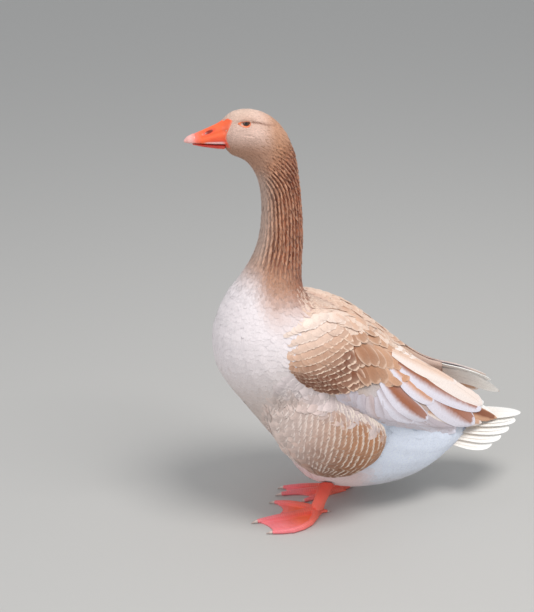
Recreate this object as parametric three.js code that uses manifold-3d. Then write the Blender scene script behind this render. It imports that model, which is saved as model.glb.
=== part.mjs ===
// A domestic goose standing upright on both feet, life size, in millimetres.
// +Z is up, the bill points along -X, the goose's left side faces -Y, and the floor is z = 0.
// Head, neck and trunk are one closed loft, parted by thin cuts. Wings, tail, flanks, legs, toes
// and bill are lofts of their own that keep a thin gap to what carries them.
// The origin is on the floor, under the middle of the whole goose.
import * as THREE from "three";
import { mergeVertices } from "three/addons/utils/BufferGeometryUtils.js";
import Module from "manifold-3d";

const wasm = await Module();
wasm.setup();

// ---------------------------------------------------------------- driving dimensions
// The drawing's x = 0 is above the legs. Lengths are in mm and angles in degrees.
const GAP = 0.35; // between neighbouring solids

// The body, from the bill's base to the rump. One section is the [x, z] of the point on the
// throat, breast and belly side, that of the crown, nape and back side, and half the width.
const BODY_RINGS = 42;
const BODY_POINTS = 26; // corners of one section
const BODY_SQUARENESS = 2.15; // 2 is an ellipse, more is boxier
const FLANK_SQUARENESS = 2.5;
const bodySection = (front, back, halfWidth) => ({ front, back, halfWidth });
const BODY = [
  bodySection([-161, 626], [-165, 670], 15),
  bodySection([-151, 616], [-151, 683], 22),
  bodySection([-139, 611], [-124, 687], 26),
  bodySection([-128, 604], [-95, 678], 27),
  bodySection([-120, 593], [-70, 656], 27),
  bodySection([-113, 580], [-54, 626], 27),
  bodySection([-108, 562], [-45, 588], 27.5),
  bodySection([-105, 522], [-38, 520], 29),
  bodySection([-110, 478], [-36, 471], 33),
  bodySection([-121, 446], [-38, 434], 39),
  bodySection([-142, 412], [-37, 399], 51),
  bodySection([-167, 376], [-24, 377], 70),
  bodySection([-186, 318], [4, 362], 92),
  bodySection([-179, 262], [40, 340], 105),
  bodySection([-143, 207], [76, 313], 110),
  bodySection([-104, 153], [108, 284], 110),
  bodySection([-66, 102], [136, 255], 105),
  bodySection([-40, 57], [160, 230], 97),
  bodySection([20, 32], [182, 206], 88),
  bodySection([86, 27], [204, 184], 78),
  bodySection([150, 41], [224, 164], 66),
  bodySection([192, 70], [240, 146], 52),
  bodySection([222, 90], [252, 130], 36),
];

// Where the body is parted: the [x, z] of a point in the cut and of the direction across it.
const CUTS = {
  head: { at: [-92, 604], across: [-0.42, 0.91] },
  neckMiddle: { at: [-72, 520], across: [-0.04, 1] },
  neckBase: { at: [-90, 418], across: [-0.2, 0.98] },
};

const EYE = { x: -131, y: 17.4, z: 668.5, radius: 7.6 };

// Bill sections from its base to its tip: the height above and below the gape line at x, z, half
// the width there, and how far the top leans forward for each mm of height.
const billSection = (x, z, above, below, half, lean = 0) => ({ x, z, above, below, half, lean });
const UPPER_BILL = [
  billSection(-150, 637, 38, 2.2, 15.5, -0.25),
  billSection(-165, 637.6, 31, 2.2, 15.2, -0.12),
  billSection(-180, 638.4, 24, 2.2, 13.6),
  billSection(-195, 639.4, 17, 2.2, 12.2),
  billSection(-208, 640.6, 11.5, 2.4, 10.6),
  billSection(-217, 641, 7, 2.6, 7.8),
  billSection(-222.5, 641, 2, 1.6, 2.6),
];
const LOWER_BILL = [
  billSection(-150, 633, 1.2, 8, 12.6),
  billSection(-172, 634, 1.2, 6.8, 11.6),
  billSection(-195, 636, 0.9, 4.4, 9.6),
  billSection(-210, 637.2, 0.5, 1.8, 6.2),
];

// The folded wing from the shoulder to the tip, for the right side (+Y): [x, y, z] of the lower
// and of the upper edge, and how far the wing stands out from the line between them.
const WING_RINGS = 19;
const WING_POINTS = 16;
const wingSection = (lower, upper, bulge) => ({ lower, upper, bulge });
const WING = [
  wingSection([-96, 84, 306], [-90, 70, 340], 9),
  wingSection([-84, 98, 284], [-64, 60, 364], 20),
  wingSection([-43, 107, 262], [-20, 38, 373], 31),
  wingSection([6, 111, 231], [42, 24, 349], 34),
  wingSection([48, 108, 195], [95, 15, 308], 33),
  wingSection([105, 94, 172], [148, 11, 262], 28),
  wingSection([155, 76, 152], [190, 10, 236], 20),
  wingSection([204, 60, 140], [230, 10, 208], 12),
  wingSection([262, 42, 132], [276, 8, 174], 6),
  wingSection([303, 25, 131], [306, 18, 141], 2.4),
];
// The right wing's tip lies higher and further back: the shift of its last part.
const RIGHT_TIP_SHIFT = { by: [20, 1, 27], from: 0.62, to: 0.9 };

// The tail: stiff vanes fanned about a root like a low tent, the middle one highest and longest,
// over a soft mass of undertail feathers. Two values are for the middle and the outermost vane.
const TAIL = {
  vanes: 9,
  root: [
    [195, 0, 140],
    [195, 14, 122],
  ],
  turn: [0, 22],
  slope: [5, 13],
  roll: [0, 28],
  length: [159, 99],
  width: 34,
  thickness: 4.4,
  mass: { centre: [226, 0, 113], radii: [54, 35, 24] },
};

// The flank and thigh lobe, for the right side: its sections from the breast to its round end.
// "across" is half the height of a section and "out" is how far it bulges to either side.
const FLANK_POINTS = 16;
const flankSection = (centre, across, out) => ({ centre, across, out });
const FLANK = [
  flankSection([-110, 72, 236], 18, 10),
  flankSection([-82, 84, 218], 50, 23),
  flankSection([-46, 89, 194], 70, 31),
  flankSection([-6, 91, 169], 75, 33),
  flankSection([34, 88, 151], 68, 32),
  flankSection([59, 84, 141], 52, 29),
  flankSection([72, 81, 136], 32, 21),
  flankSection([78, 80, 133], 12, 8),
];

// Each leg: the hock, the foot's joint above the toes, how far the foot is turned out, and how
// wide its toes are spread and how strongly bowed, as shares of the full spread and bow.
const LEGS = {
  left: { side: -1, hock: [6, -50, 84], joint: [-18, -46, 12], turnedOut: 6, spread: 1, bow: 1 },
  right: { side: 1, hock: [58, 32, 84], joint: [41, 20, 12], turnedOut: 1, spread: 0.55, bow: 0.2 },
};
const SHANK_RADII = [15, 13.4, 11.6, 10.2, 11.2];
const SHANK_POINTS = 12;

// Toes from the joint: the length without the claw, the angle outward, the thickness at the
// root as a radius, and how far the toe bows outward in its middle.
const TOES = {
  inner: { length: 78, angle: -40, radius: 6.4, bow: -7 },
  middle: { length: 106, angle: 0, radius: 7, bow: 0 },
  outer: { length: 101, angle: 23, radius: 6.4, bow: 24 },
  hind: { length: 17, angle: 168, radius: 4.6, bow: 0 },
};
const TOE_POINTS = 7;
const CLAW = { length: 11, radius: 3.1, sunk: 2.5, points: 6 };
// The web between two toes is hollowed back towards the joint: one share for each web.
const WEB = { thickness: 3.2, hollow: [0.42, 0.9], side: 6 };

const PALE = 0xe6cdbb;
const BUFF = 0xc79a74;
const WHITE = 0xf2eee8;
const ORANGE = 0xf0562a;
const CORAL = 0xe4483c;
const HORN = 0xcbb8ac;
const DARK = 0x2a1710;

// ---------------------------------------------------------------- shape helpers
const point = (a) => new THREE.Vector3(...a);
const radians = THREE.MathUtils.degToRad;
const circle = (count) => Array.from({ length: count }, (_, i) => (2 * Math.PI * i) / count);
const mirrored = (a, side) => new THREE.Vector3(a[0], a[1] * side, a[2]);

// A cosine or sine drawn out towards a box's, for rings squarer than an ellipse.
const squared = (v, squareness) => Math.sign(v) * Math.abs(v) ** (2 / squareness);

// A smooth run through evenly timed samples, for u from 0 to 1.
const smooth = (samples) => new THREE.CatmullRomCurve3(samples, false, "centripetal");
const smoothValue = (values) => {
  const run = smooth(values.map((v, i) => new THREE.Vector3(i, v, 0)));
  return (u) => run.getPoint(u).y;
};

// A closed loft through rings of equally many points, closed at both ends by a fan.
function loft(rings) {
  const count = rings[0].length;
  const last = rings.length - 1;
  const corner = (ring, i) => ring * count + (i % count);
  const points = rings.flat();
  const index = [];
  for (let r = 0; r < last; r++) {
    for (let i = 0; i < count; i++) {
      index.push(corner(r, i), corner(r + 1, i), corner(r, i + 1));
      index.push(corner(r, i + 1), corner(r + 1, i), corner(r + 1, i + 1));
    }
  }
  for (const r of [0, last]) {
    const middle = new THREE.Vector3();
    rings[r].forEach((p) => middle.addScaledVector(p, 1 / count));
    const hub = points.push(middle) - 1;
    for (let i = 0; i < count; i++) {
      const edge = [corner(r, i), corner(r, i + 1)];
      index.push(hub, ...(r === 0 ? edge : edge.reverse()));
    }
  }
  return new THREE.BufferGeometry().setFromPoints(points).setIndex(index);
}

// A closed geometry as a solid, whichever way round its faces were listed.
function solid(geometry) {
  const bare = geometry.index ? geometry.toNonIndexed() : geometry.clone();
  bare.deleteAttribute("normal");
  bare.deleteAttribute("uv");
  const merged = mergeVertices(bare, 1e-3);
  const vertProperties = new Float32Array(merged.attributes.position.array);
  const faces = Uint32Array.from(merged.index.array);
  const made = (triVerts) =>
    new wasm.Manifold(new wasm.Mesh({ numProp: 3, vertProperties, triVerts }));
  const listed = made(faces);
  return listed.volume() > 0 ? listed : made(faces.reverse());
}

function geometryOf(body) {
  const mesh = body.getMesh();
  const stride = mesh.numProp;
  const position = new Float32Array(mesh.numVert * 3);
  for (let i = 0; i < mesh.numVert; i++) {
    position.set(mesh.vertProperties.subarray(i * stride, i * stride + 3), i * 3);
  }
  const geometry = new THREE.BufferGeometry();
  geometry.setAttribute("position", new THREE.BufferAttribute(position, 3));
  geometry.setIndex(new THREE.BufferAttribute(new Uint32Array(mesh.triVerts), 1));
  geometry.computeVertexNormals();
  return geometry;
}

// The largest piece of a solid that a cut may have left in several.
const largest = (body) =>
  body.decompose().reduce((best, piece) => (piece.volume() > best.volume() ? piece : best));

// A round bar along a path, with one radius for each of its evenly spaced stations.
function taperedBar(path, radii, sides) {
  const curve = smooth(path);
  const radiusAt = smoothValue(radii);
  const count = radii.length * 2 - 1;
  const rings = [];
  for (let k = 0; k < count; k++) {
    const u = k / (count - 1);
    const centre = curve.getPoint(u);
    const ahead = curve.getTangent(u);
    const across = new THREE.Vector3(0, 1, 0).cross(ahead).normalize();
    const over = ahead.clone().cross(across).normalize();
    const radius = radiusAt(u);
    rings.push(
      circle(sides).map((a) =>
        centre
          .clone()
          .addScaledVector(across, Math.cos(a) * radius)
          .addScaledVector(over, Math.sin(a) * radius),
      ),
    );
  }
  return solid(loft(rings));
}

// ---------------------------------------------------------------- body
// Head, neck and trunk in one, swollen by "inflate" to cut what lies on it.
function bodyLoft(inflate) {
  const fronts = smooth(BODY.map((s) => new THREE.Vector3(s.front[0], s.halfWidth, s.front[1])));
  const backs = smooth(BODY.map((s) => new THREE.Vector3(s.back[0], s.halfWidth, s.back[1])));
  const rings = [];
  for (let r = 0; r < BODY_RINGS; r++) {
    const u = r / (BODY_RINGS - 1);
    const front = fronts.getPoint(u);
    const back = backs.getPoint(u);
    const halfWidth = front.y + inflate;
    front.y = 0;
    back.y = 0;
    const centre = front.clone().add(back).multiplyScalar(0.5);
    const half = back.clone().sub(centre);
    half.setLength(half.length() + inflate);
    rings.push(
      circle(BODY_POINTS).map((a) => {
        const onRing = centre.clone();
        onRing.addScaledVector(half, squared(Math.cos(a), BODY_SQUARENESS));
        return onRing.setY(squared(Math.sin(a), BODY_SQUARENESS) * halfWidth);
      }),
    );
  }
  return solid(loft(rings));
}

// The side of a cut that "across" points to (towards = 1) or the other one (towards = -1).
function keep(body, cut, towards) {
  const length = Math.hypot(...cut.across);
  const normal = [cut.across[0] / length, 0, cut.across[1] / length];
  const offset = cut.at[0] * normal[0] + cut.at[1] * normal[2];
  return body.trimByPlane(
    normal.map((n) => n * towards),
    offset * towards + GAP / 2,
  );
}

const eyeBall = (side, swollen) => {
  const ball = new THREE.SphereGeometry(EYE.radius + swollen, 12, 7);
  ball.translate(EYE.x, EYE.y * side, EYE.z);
  return solid(ball);
};

function billHalf(sections) {
  const rings = sections.map((s) =>
    circle(16).map((a) => {
      const height = Math.cos(a) * (Math.cos(a) > 0 ? s.above : s.below);
      return new THREE.Vector3(s.x + s.lean * height, Math.sin(a) * s.half, s.z + height);
    }),
  );
  return solid(loft(rings));
}

// ---------------------------------------------------------------- wings, flanks and tail
function wingLoft(side, inflate) {
  const edge = (name) =>
    smooth(
      WING.map((s, i) => {
        const u = i / (WING.length - 1);
        const { by, from, to } = RIGHT_TIP_SHIFT;
        const shift = side > 0 ? THREE.MathUtils.smoothstep(u, from, to) : 0;
        return mirrored(s[name], side).addScaledVector(point(by), shift);
      }),
    );
  const lowerEdge = edge("lower");
  const upperEdge = edge("upper");
  const bulgeAt = smoothValue(WING.map((s) => s.bulge));
  const rings = [];
  for (let r = 0; r < WING_RINGS; r++) {
    const u = r / (WING_RINGS - 1);
    const lower = lowerEdge.getPoint(u);
    const upper = upperEdge.getPoint(u);
    const centre = lower.clone().add(upper).multiplyScalar(0.5);
    const half = upper.clone().sub(centre);
    half.setLength(half.length() + inflate);
    const out = lowerEdge.getTangent(u).cross(half).normalize();
    if (out.y * side < 0) out.negate();
    const bulge = bulgeAt(u) + inflate;
    rings.push(
      circle(WING_POINTS).map((a) =>
        centre
          .clone()
          .addScaledVector(half, Math.cos(a))
          .addScaledVector(out, Math.sin(a) * bulge),
      ),
    );
  }
  return solid(loft(rings));
}

function flankLoft(side) {
  const ahead = point(FLANK.at(-1).centre).sub(point(FLANK[0].centre)).setY(0).normalize();
  const up = new THREE.Vector3(-ahead.z, 0, ahead.x);
  const rings = FLANK.map((s) =>
    circle(FLANK_POINTS).map((a) => {
      const onRing = point(s.centre);
      onRing.addScaledVector(up, squared(Math.cos(a), FLANK_SQUARENESS) * s.across);
      onRing.y = (onRing.y + squared(Math.sin(a), FLANK_SQUARENESS) * s.out) * side;
      return onRing;
    }),
  );
  return solid(loft(rings));
}

// One tail vane lying along +X from its root, with a round end.
function tailVane(length) {
  const w = TAIL.width / 2;
  const shape = new THREE.Shape();
  shape.moveTo(0, -w * 0.5);
  shape.lineTo(length - w * 1.3, -w);
  shape.bezierCurveTo(length - w * 0.4, -w, length, -w * 0.5, length, 0);
  shape.bezierCurveTo(length, w * 0.5, length - w * 0.4, w, length - w * 1.3, w);
  shape.lineTo(0, w * 0.5);
  const depth = TAIL.thickness;
  return new THREE.ExtrudeGeometry(shape, { depth, bevelEnabled: false, curveSegments: 4 });
}

function tailFan() {
  const mass = new THREE.SphereGeometry(1, 14, 8);
  mass.scale(...TAIL.mass.radii);
  mass.translate(...TAIL.mass.centre);
  let fan = solid(mass);
  for (let i = 0; i < TAIL.vanes; i++) {
    const share = (2 * i) / (TAIL.vanes - 1) - 1;
    const size = Math.abs(share);
    const side = Math.sign(share);
    const between = ([middle, outermost], u) => THREE.MathUtils.lerp(middle, outermost, u);
    const vane = tailVane(between(TAIL.length, size));
    vane.rotateX(radians(-side * between(TAIL.roll, size)));
    vane.rotateY(radians(between(TAIL.slope, size * size)));
    vane.rotateZ(radians(side * between(TAIL.turn, size)));
    const root = point(TAIL.root[0]).lerp(point(TAIL.root[1]), size);
    vane.translate(root.x, root.y * side, root.z);
    fan = fan.add(solid(vane));
  }
  return fan;
}

// ---------------------------------------------------------------- legs
// Toes and webs are drawn with the foot's joint at the origin, the foot pointing along -X, its
// sole on z = 0 and the outer toe towards +Y.
function toeAt(toe, u) {
  const angle = radians(toe.angle);
  const reach = new THREE.Vector3(-Math.cos(angle), Math.sin(angle), 0);
  const outward = new THREE.Vector3(Math.sin(angle), Math.cos(angle), 0);
  return reach
    .multiplyScalar(toe.length * u)
    .addScaledVector(outward, toe.bow * Math.sin(Math.PI * u));
}

function toeBar(toe) {
  const path = [0, 0.35, 0.7, 1].map((u) => toeAt(toe, u).setZ(toe.radius * (0.9 - 0.34 * u)));
  const radii = [1.15, 0.86, 0.78, 0.5].map((share) => share * toe.radius);
  return taperedBar(path, radii, TOE_POINTS);
}

function webPlate({ inner, middle, outer }) {
  const tips = [inner, middle, outer].map((toe) => toeAt(toe, 0.97));
  const shape = new THREE.Shape();
  shape.moveTo(8, -WEB.side);
  shape.lineTo(tips[0].x, tips[0].y);
  WEB.hollow.forEach((share, k) => {
    const [from, to] = [tips[k], tips[k + 1]];
    const hollow = from.clone().add(to).multiplyScalar(share / 2);
    shape.quadraticCurveTo(hollow.x, hollow.y, to.x, to.y);
  });
  for (const u of [0.75, 0.5, 0.25]) shape.lineTo(toeAt(outer, u).x, toeAt(outer, u).y);
  shape.lineTo(6, WEB.side);
  const depth = WEB.thickness;
  return solid(new THREE.ExtrudeGeometry(shape, { depth, bevelEnabled: false, curveSegments: 6 }));
}

// The toes of one foot at its own spread and bow; the hind toe stays where it is.
const toesOf = (leg) =>
  Object.fromEntries(
    Object.entries(TOES).map(([name, toe]) => {
      const angle = name === "hind" ? toe.angle : toe.angle * leg.spread;
      return [name, { ...toe, angle, bow: toe.bow * leg.bow }];
    }),
  );

function claw(toe) {
  const tip = toeAt(toe, 1);
  const ahead = tip.clone().sub(toeAt(toe, 0.8)).normalize();
  const size = toe.radius / TOES.middle.radius;
  const start = tip.clone().addScaledVector(ahead, -CLAW.sunk);
  const path = [0, 0.5, 1].map((u) =>
    start
      .clone()
      .addScaledVector(ahead, (CLAW.length + CLAW.sunk) * size * u)
      .setZ(CLAW.radius * size * (1.25 - 0.85 * u * u)),
  );
  const radii = [CLAW.radius * size, CLAW.radius * 0.75 * size, 0.8];
  return taperedBar(path, radii, CLAW.points).trimByPlane([0, 0, 1], 0);
}

function placed(body, leg) {
  const turned = leg.side < 0 ? body.mirror([0, 1, 0]) : body;
  return turned.rotate([0, 0, -leg.side * leg.turnedOut]).translate([leg.joint[0], leg.joint[1], 0]);
}

function shankBar(leg) {
  const hock = point(leg.hock);
  const joint = point(leg.joint);
  const path = [1.35, 1, 0.45, 0.16, 0].map((u) => joint.clone().lerp(hock, u));
  return taperedBar(path, SHANK_RADII, SHANK_POINTS);
}

// ---------------------------------------------------------------- assembly
const finish = (color, roughness) => new THREE.MeshStandardMaterial({ color, roughness });
const goose = new THREE.Group();
function add(name, body, material) {
  const mesh = new THREE.Mesh(geometryOf(largest(body)), material);
  mesh.name = name;
  goose.add(mesh);
}

const whole = bodyLoft(0);
const swollen = bodyLoft(GAP);
const belowHead = keep(whole, CUTS.head, -1);
const neck = keep(belowHead, CUTS.neckBase, 1);
const pale = finish(PALE, 0.85);
const buff = finish(BUFF, 0.85);
const white = finish(WHITE, 0.9);
const orange = finish(ORANGE, 0.45);
const coral = finish(CORAL, 0.55);

const socketed = keep(whole, CUTS.head, 1).subtract(eyeBall(-1, GAP)).subtract(eyeBall(1, GAP));
add("head", socketed, pale);
add("eye_left", eyeBall(-1, 0), finish(DARK, 0.1));
add("eye_right", eyeBall(1, 0), finish(DARK, 0.1));
const upperBill = billHalf(UPPER_BILL);
add("bill_upper", upperBill.subtract(swollen), orange);
const lowerBill = billHalf(LOWER_BILL).subtract(swollen);
add("bill_lower", lowerBill.subtract(upperBill.translate([0, 0, -GAP])), orange);
add("neck_upper", keep(neck, CUTS.neckMiddle, 1), pale);
add("neck_lower", keep(neck, CUTS.neckMiddle, -1), pale);
add("trunk", keep(belowHead, CUTS.neckBase, -1), white);
const tail = tailFan().subtract(swollen);
add("tail", tail, white);

for (const [name, leg] of Object.entries(LEGS)) {
  const tailClear = tail.translate([0, 0, GAP]).add(tail.translate([GAP, 0, 0]));
  const wing = wingLoft(leg.side, 0).subtract(swollen).subtract(tailClear);
  const flank = flankLoft(leg.side).subtract(swollen).subtract(wingLoft(leg.side, GAP));
  const shank = shankBar(leg);
  const toes = toesOf(leg);
  const bars = Object.values(toes).map(toeBar);
  const sole = bars.reduce((a, b) => a.add(b), webPlate(toes)).trimByPlane([0, 0, 1], 0);
  const foot = placed(sole, leg).subtract(shank.translate([0, 0, -GAP]));
  add(`wing_${name}`, wing, buff);
  add(`flank_${name}`, flank, buff);
  add(`shank_${name}`, shank.subtract(swollen).subtract(flankLoft(leg.side)), coral);
  add(`foot_${name}`, foot.subtract(shank), coral);
  for (const [toeName, toe] of Object.entries(toes)) {
    const nail = placed(claw(toe), leg).subtract(foot);
    add(`claw_${name}_${toeName}`, nail, finish(HORN, 0.5));
  }
}

const box = new THREE.Box3().setFromObject(goose);
goose.position.set(-(box.min.x + box.max.x) / 2, -(box.min.y + box.max.y) / 2, -box.min.z);

export default goose;
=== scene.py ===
# A domestic goose in buff and white, life size: one skin under a coat of separate feathers, with
# its bill, eyes, webbed feet and claws. Lengths are in millimetres on the drawing, whose x = 0 is
# above the legs: the bill points along -X, the goose's left side faces -Y and the floor is z = 0.
import math

import bmesh
import bpy
import numpy as np
from mathutils import Matrix, Vector, noise
from mathutils.bvhtree import BVHTree


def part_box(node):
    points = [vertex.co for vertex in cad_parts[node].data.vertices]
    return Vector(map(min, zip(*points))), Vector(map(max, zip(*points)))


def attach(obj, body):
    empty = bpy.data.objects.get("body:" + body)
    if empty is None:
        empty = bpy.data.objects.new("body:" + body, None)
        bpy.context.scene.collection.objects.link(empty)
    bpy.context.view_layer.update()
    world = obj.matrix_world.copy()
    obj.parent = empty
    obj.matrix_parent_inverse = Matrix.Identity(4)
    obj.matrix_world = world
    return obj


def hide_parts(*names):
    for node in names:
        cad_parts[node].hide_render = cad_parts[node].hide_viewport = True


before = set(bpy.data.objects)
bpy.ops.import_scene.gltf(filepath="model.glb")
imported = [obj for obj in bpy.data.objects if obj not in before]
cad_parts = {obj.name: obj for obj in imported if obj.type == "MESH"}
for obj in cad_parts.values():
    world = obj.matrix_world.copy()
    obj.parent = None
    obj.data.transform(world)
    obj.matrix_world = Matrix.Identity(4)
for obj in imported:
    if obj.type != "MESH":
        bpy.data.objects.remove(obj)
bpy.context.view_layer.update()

MM = 0.001
BILL_TIP_X = -222.5
ORIGIN = np.array([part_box("bill_upper")[0].x / MM - BILL_TIP_X, 0.0, 0.0])
LEFT, RIGHT = -1, 1
SIDES = {"left": LEFT, "right": RIGHT}


def metres(points):
    """Points of the drawing, in the frame."""
    return (np.asarray(points, float) + ORIGIN) * MM


def drawing(points):
    """Points of the frame, on the drawing."""
    return np.asarray(points, float) / MM - ORIGIN


# ---------------------------------------------------------------- numbers and curves
def unit(vectors):
    return vectors / np.maximum(np.linalg.norm(vectors, axis=-1, keepdims=True), 1e-9)


def dot(a, b):
    return (a * b).sum(-1, keepdims=True)


def ramp(value, start, end):
    """0 before start, 1 after end, with a smooth rise between them. It also falls if end < start."""
    t = np.clip((value - start) / (end - start), 0, 1)
    return t * t * (3 - 2 * t)


def bell(value, middle, width):
    return np.exp(-(((value - middle) / width) ** 2))


def mix(a, b, share):
    return a + (b - a) * share


def smooth_run(points, shares):
    """Points on a smooth curve through the given ones, at shares of its length from 0 to 1."""
    p = np.asarray(points, float)
    t = np.concatenate([[0], np.cumsum(np.linalg.norm(np.diff(p, axis=0), axis=1))])
    t /= t[-1]
    slope = np.gradient(p, t, axis=0)
    shares = np.atleast_1d(shares)
    k = np.clip(np.searchsorted(t, shares, side="right") - 1, 0, len(p) - 2)
    step = (t[k + 1] - t[k])[:, None]
    x = (shares - t[k])[:, None] / step
    a = (1 + 2 * x) * (1 - x) ** 2
    b = x * (1 - x) ** 2 * step
    c = x * x * (3 - 2 * x)
    d = x * x * (x - 1) * step
    return a * p[k] + b * slope[k] + c * p[k + 1] + d * slope[k + 1]


def colour(red, green, blue):
    """A colour named by its eye values from 0 to 255, as the linear values that shaders use."""
    c = np.array([red, green, blue]) / 255
    return np.where(c <= 0.04045, c / 12.92, ((c + 0.055) / 1.055) ** 2.4)


def wobble(points, scale, seed=0.0):
    """Smooth noise from -1 to 1, one number for each point."""
    shift = Vector((seed, -seed, seed * 0.5))
    return np.array([noise.noise(Vector(p) / scale + shift) for p in points])


# ---------------------------------------------------------------- the body's own measures
# The middle line of head, neck and trunk as [x, z], from the bill to past the tail.
SPINE = [
    [-166, 650], [-131, 649], [-100, 630], [-80, 597], [-72, 560], [-71, 510], [-75, 460],
    [-90, 400], [-90, 350], [-60, 290], [0, 220], [60, 165], [140, 130], [220, 118], [360, 122],
]
SPINE_SAMPLES = 240
SPINE_BLEND = 14.0

spine_xz = smooth_run(SPINE, np.linspace(0, 1, SPINE_SAMPLES))
spine_ahead = unit(np.gradient(spine_xz, axis=0))
spine_steps = np.linalg.norm(np.diff(spine_xz, axis=0), axis=1)
spine_along = np.concatenate([[0], np.cumsum(spine_steps)])
SPINE_LENGTH = spine_along[-1]


def stations(points):
    """For each point: how far along the spine it lies, its angle round it (0 at the throat and
    belly, pi at the nape and back), and the spine's direction there."""
    along, angle, ahead = [], [], []
    for part in np.array_split(np.asarray(points, float), max(1, len(points) // 8000)):
        xz = part[:, [0, 2]]
        apart = np.linalg.norm(xz[:, None] - spine_xz[None], axis=2)
        weight = np.exp(-(apart - apart.min(1, keepdims=True)) / SPINE_BLEND)
        weight /= weight.sum(1, keepdims=True)
        direction = unit(weight @ spine_ahead)
        away = xz - weight @ spine_xz
        over = away[:, 1] * direction[:, 0] - away[:, 0] * direction[:, 1]
        along.append(weight @ spine_along)
        angle.append(np.arctan2(np.abs(part[:, 1]), -over))
        ahead.append(np.stack([direction[:, 0], np.zeros(len(part)), direction[:, 1]], 1))
    return np.concatenate(along), np.concatenate(angle), np.concatenate(ahead)


# ---------------------------------------------------------------- relief of neck and face
NECK = {"starts": 84, "full": 118, "fades": 258, "ends": 292}
FURROWS = 30
FURROW_DEPTH = 3.0
NECK_RADIUS = 31.0
FURROW_SLANT = [40, 3]
SLANT_ENDS = 0.4
EYE = {"x": -131.0, "y": 15.8, "z": 668.5, "radius": 7.0}


def furrows(points, along, angle):
    """How deep in a neck furrow each point is, from 0 on a ridge to 1 in a groove, and how
    strongly the neck is furrowed there."""
    down = np.clip((along - NECK["starts"]) / (NECK["ends"] - NECK["starts"]), 0, 1)
    steep, upright = [FURROWS * math.tan(math.radians(a)) / NECK_RADIUS for a in FURROW_SLANT]
    reach = NECK["ends"] - NECK["starts"]
    bent = np.minimum(down, SLANT_ENDS)
    slanted = reach * (upright * down + (steep - upright) * (bent - bent**2 / (2 * SLANT_ENDS)))
    stray = 1.5 * wobble(points * (1, 1, 0.4), 12) + 1.0 * wobble(points * (1, 1, 0.7), 26, 4)
    phase = FURROWS * angle - slanted + stray
    groove = (0.5 - 0.5 * np.cos(phase)) ** 1.1
    groove = groove * (0.86 + 0.3 * wobble(points * (1, 1, 0.3), 9, 8))
    nape = ramp(angle, 1.2, 2.4)
    strength = ramp(along, NECK["starts"] - 14 * nape, NECK["full"] - 14 * nape)
    strength *= ramp(along, NECK["ends"], NECK["fades"])
    strength *= ramp(angle, 0.25, 0.7) * 0.9 + 0.1
    return groove, strength


def eye_crease(points):
    """The crease that runs back from the eye, 1 at its bottom."""
    x, y, z = points.T
    line = EYE["z"] + 2.2 - 0.13 * (x - EYE["x"]) + 1.0 * np.sin((x - EYE["x"]) / 7)
    reach = ramp(x, EYE["x"] + 3, EYE["x"] + 9) * ramp(x, EYE["x"] + 50, EYE["x"] + 18)
    return bell(z, line, 1.5) * reach * ramp(np.abs(y), 8, 12)


def face_relief(points):
    """Brow, eye socket, cheek and the crease behind the eye, in mm out of the plain head."""
    x, y, z = points.T
    beside = ramp(np.abs(y), 8, 14)
    dx, dz = x - EYE["x"], z - EYE["z"]
    brow = 1.9 * bell(dz, 6.0 + 0.1 * dx, 2.2) * bell(dx, 1, 14)
    corner = -0.8 * bell(dz, 0.5, 3.0) * bell(dx, -11, 6)
    socket = -3.0 * ramp(np.hypot(dx / 5.6, dz / 4.6), 1.15, 0.6)
    fold = 0.7 * bell(dz, -7.5 + 0.1 * dx, 1.8) * bell(dx, -3, 8)
    wrinkle = -0.9 * bell(dz, -17 - 0.35 * dx + 1.5 * np.sin(dx / 5), 1.3) * bell(dx, 4, 9)
    cheek = 1.3 * bell(dz, -20, 9) * bell(dx, 10, 15)
    return beside * (brow + corner + socket + fold + wrinkle + cheek) - 1.3 * eye_crease(points)


def relief(points):
    along, angle, _ = stations(points)
    groove, strength = furrows(points, along, angle)
    return face_relief(points) - FURROW_DEPTH * groove * strength


# ---------------------------------------------------------------- mesh helpers
def linked(name, mesh):
    made = bpy.data.objects.new(name, mesh)
    bpy.context.scene.collection.objects.link(made)
    return made


def cad_solid(*nodes):
    """The CAD nodes' own solids in one bmesh, with their loose triangles joined."""
    bm = bmesh.new()
    for node in nodes:
        bm.from_mesh(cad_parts[node].data)
    bmesh.ops.remove_doubles(bm, verts=bm.verts, dist=1e-6)
    return bm


def ball(bm, centre, radii, segments=24):
    shape = Matrix.Translation(metres(centre)) @ Matrix.Diagonal((*[r * MM for r in radii], 1))
    bmesh.ops.create_uvsphere(bm, u_segments=segments, v_segments=segments // 2, radius=1, matrix=shape)


def remeshed(bm, voxel, rounds):
    """One even, rounded surface round everything in the bmesh."""
    rough = bpy.data.meshes.new("rough")
    bm.to_mesh(rough)
    bm.free()
    holder = linked("rough", rough)
    joined = holder.modifiers.new("joined", "REMESH")
    joined.mode = "VOXEL"
    joined.voxel_size = voxel * MM
    joined.use_smooth_shade = True
    if rounds:
        rounded = holder.modifiers.new("rounded", "SMOOTH")
        rounded.factor = 0.5
        rounded.iterations = rounds
    graph = bpy.context.evaluated_depsgraph_get()
    mesh = bpy.data.meshes.new_from_object(holder.evaluated_get(graph))
    bpy.data.objects.remove(holder)
    return mesh


def places(mesh):
    flat = np.empty(len(mesh.vertices) * 3, np.float32)
    mesh.vertices.foreach_get("co", flat)
    return drawing(flat.reshape(-1, 3))


def normals(mesh):
    flat = np.empty(len(mesh.vertices) * 3, np.float32)
    mesh.vertices.foreach_get("normal", flat)
    return flat.reshape(-1, 3).astype(float)


def move_to(mesh, points):
    mesh.vertices.foreach_set("co", metres(points).astype(np.float32).ravel())
    mesh.update()


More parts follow.
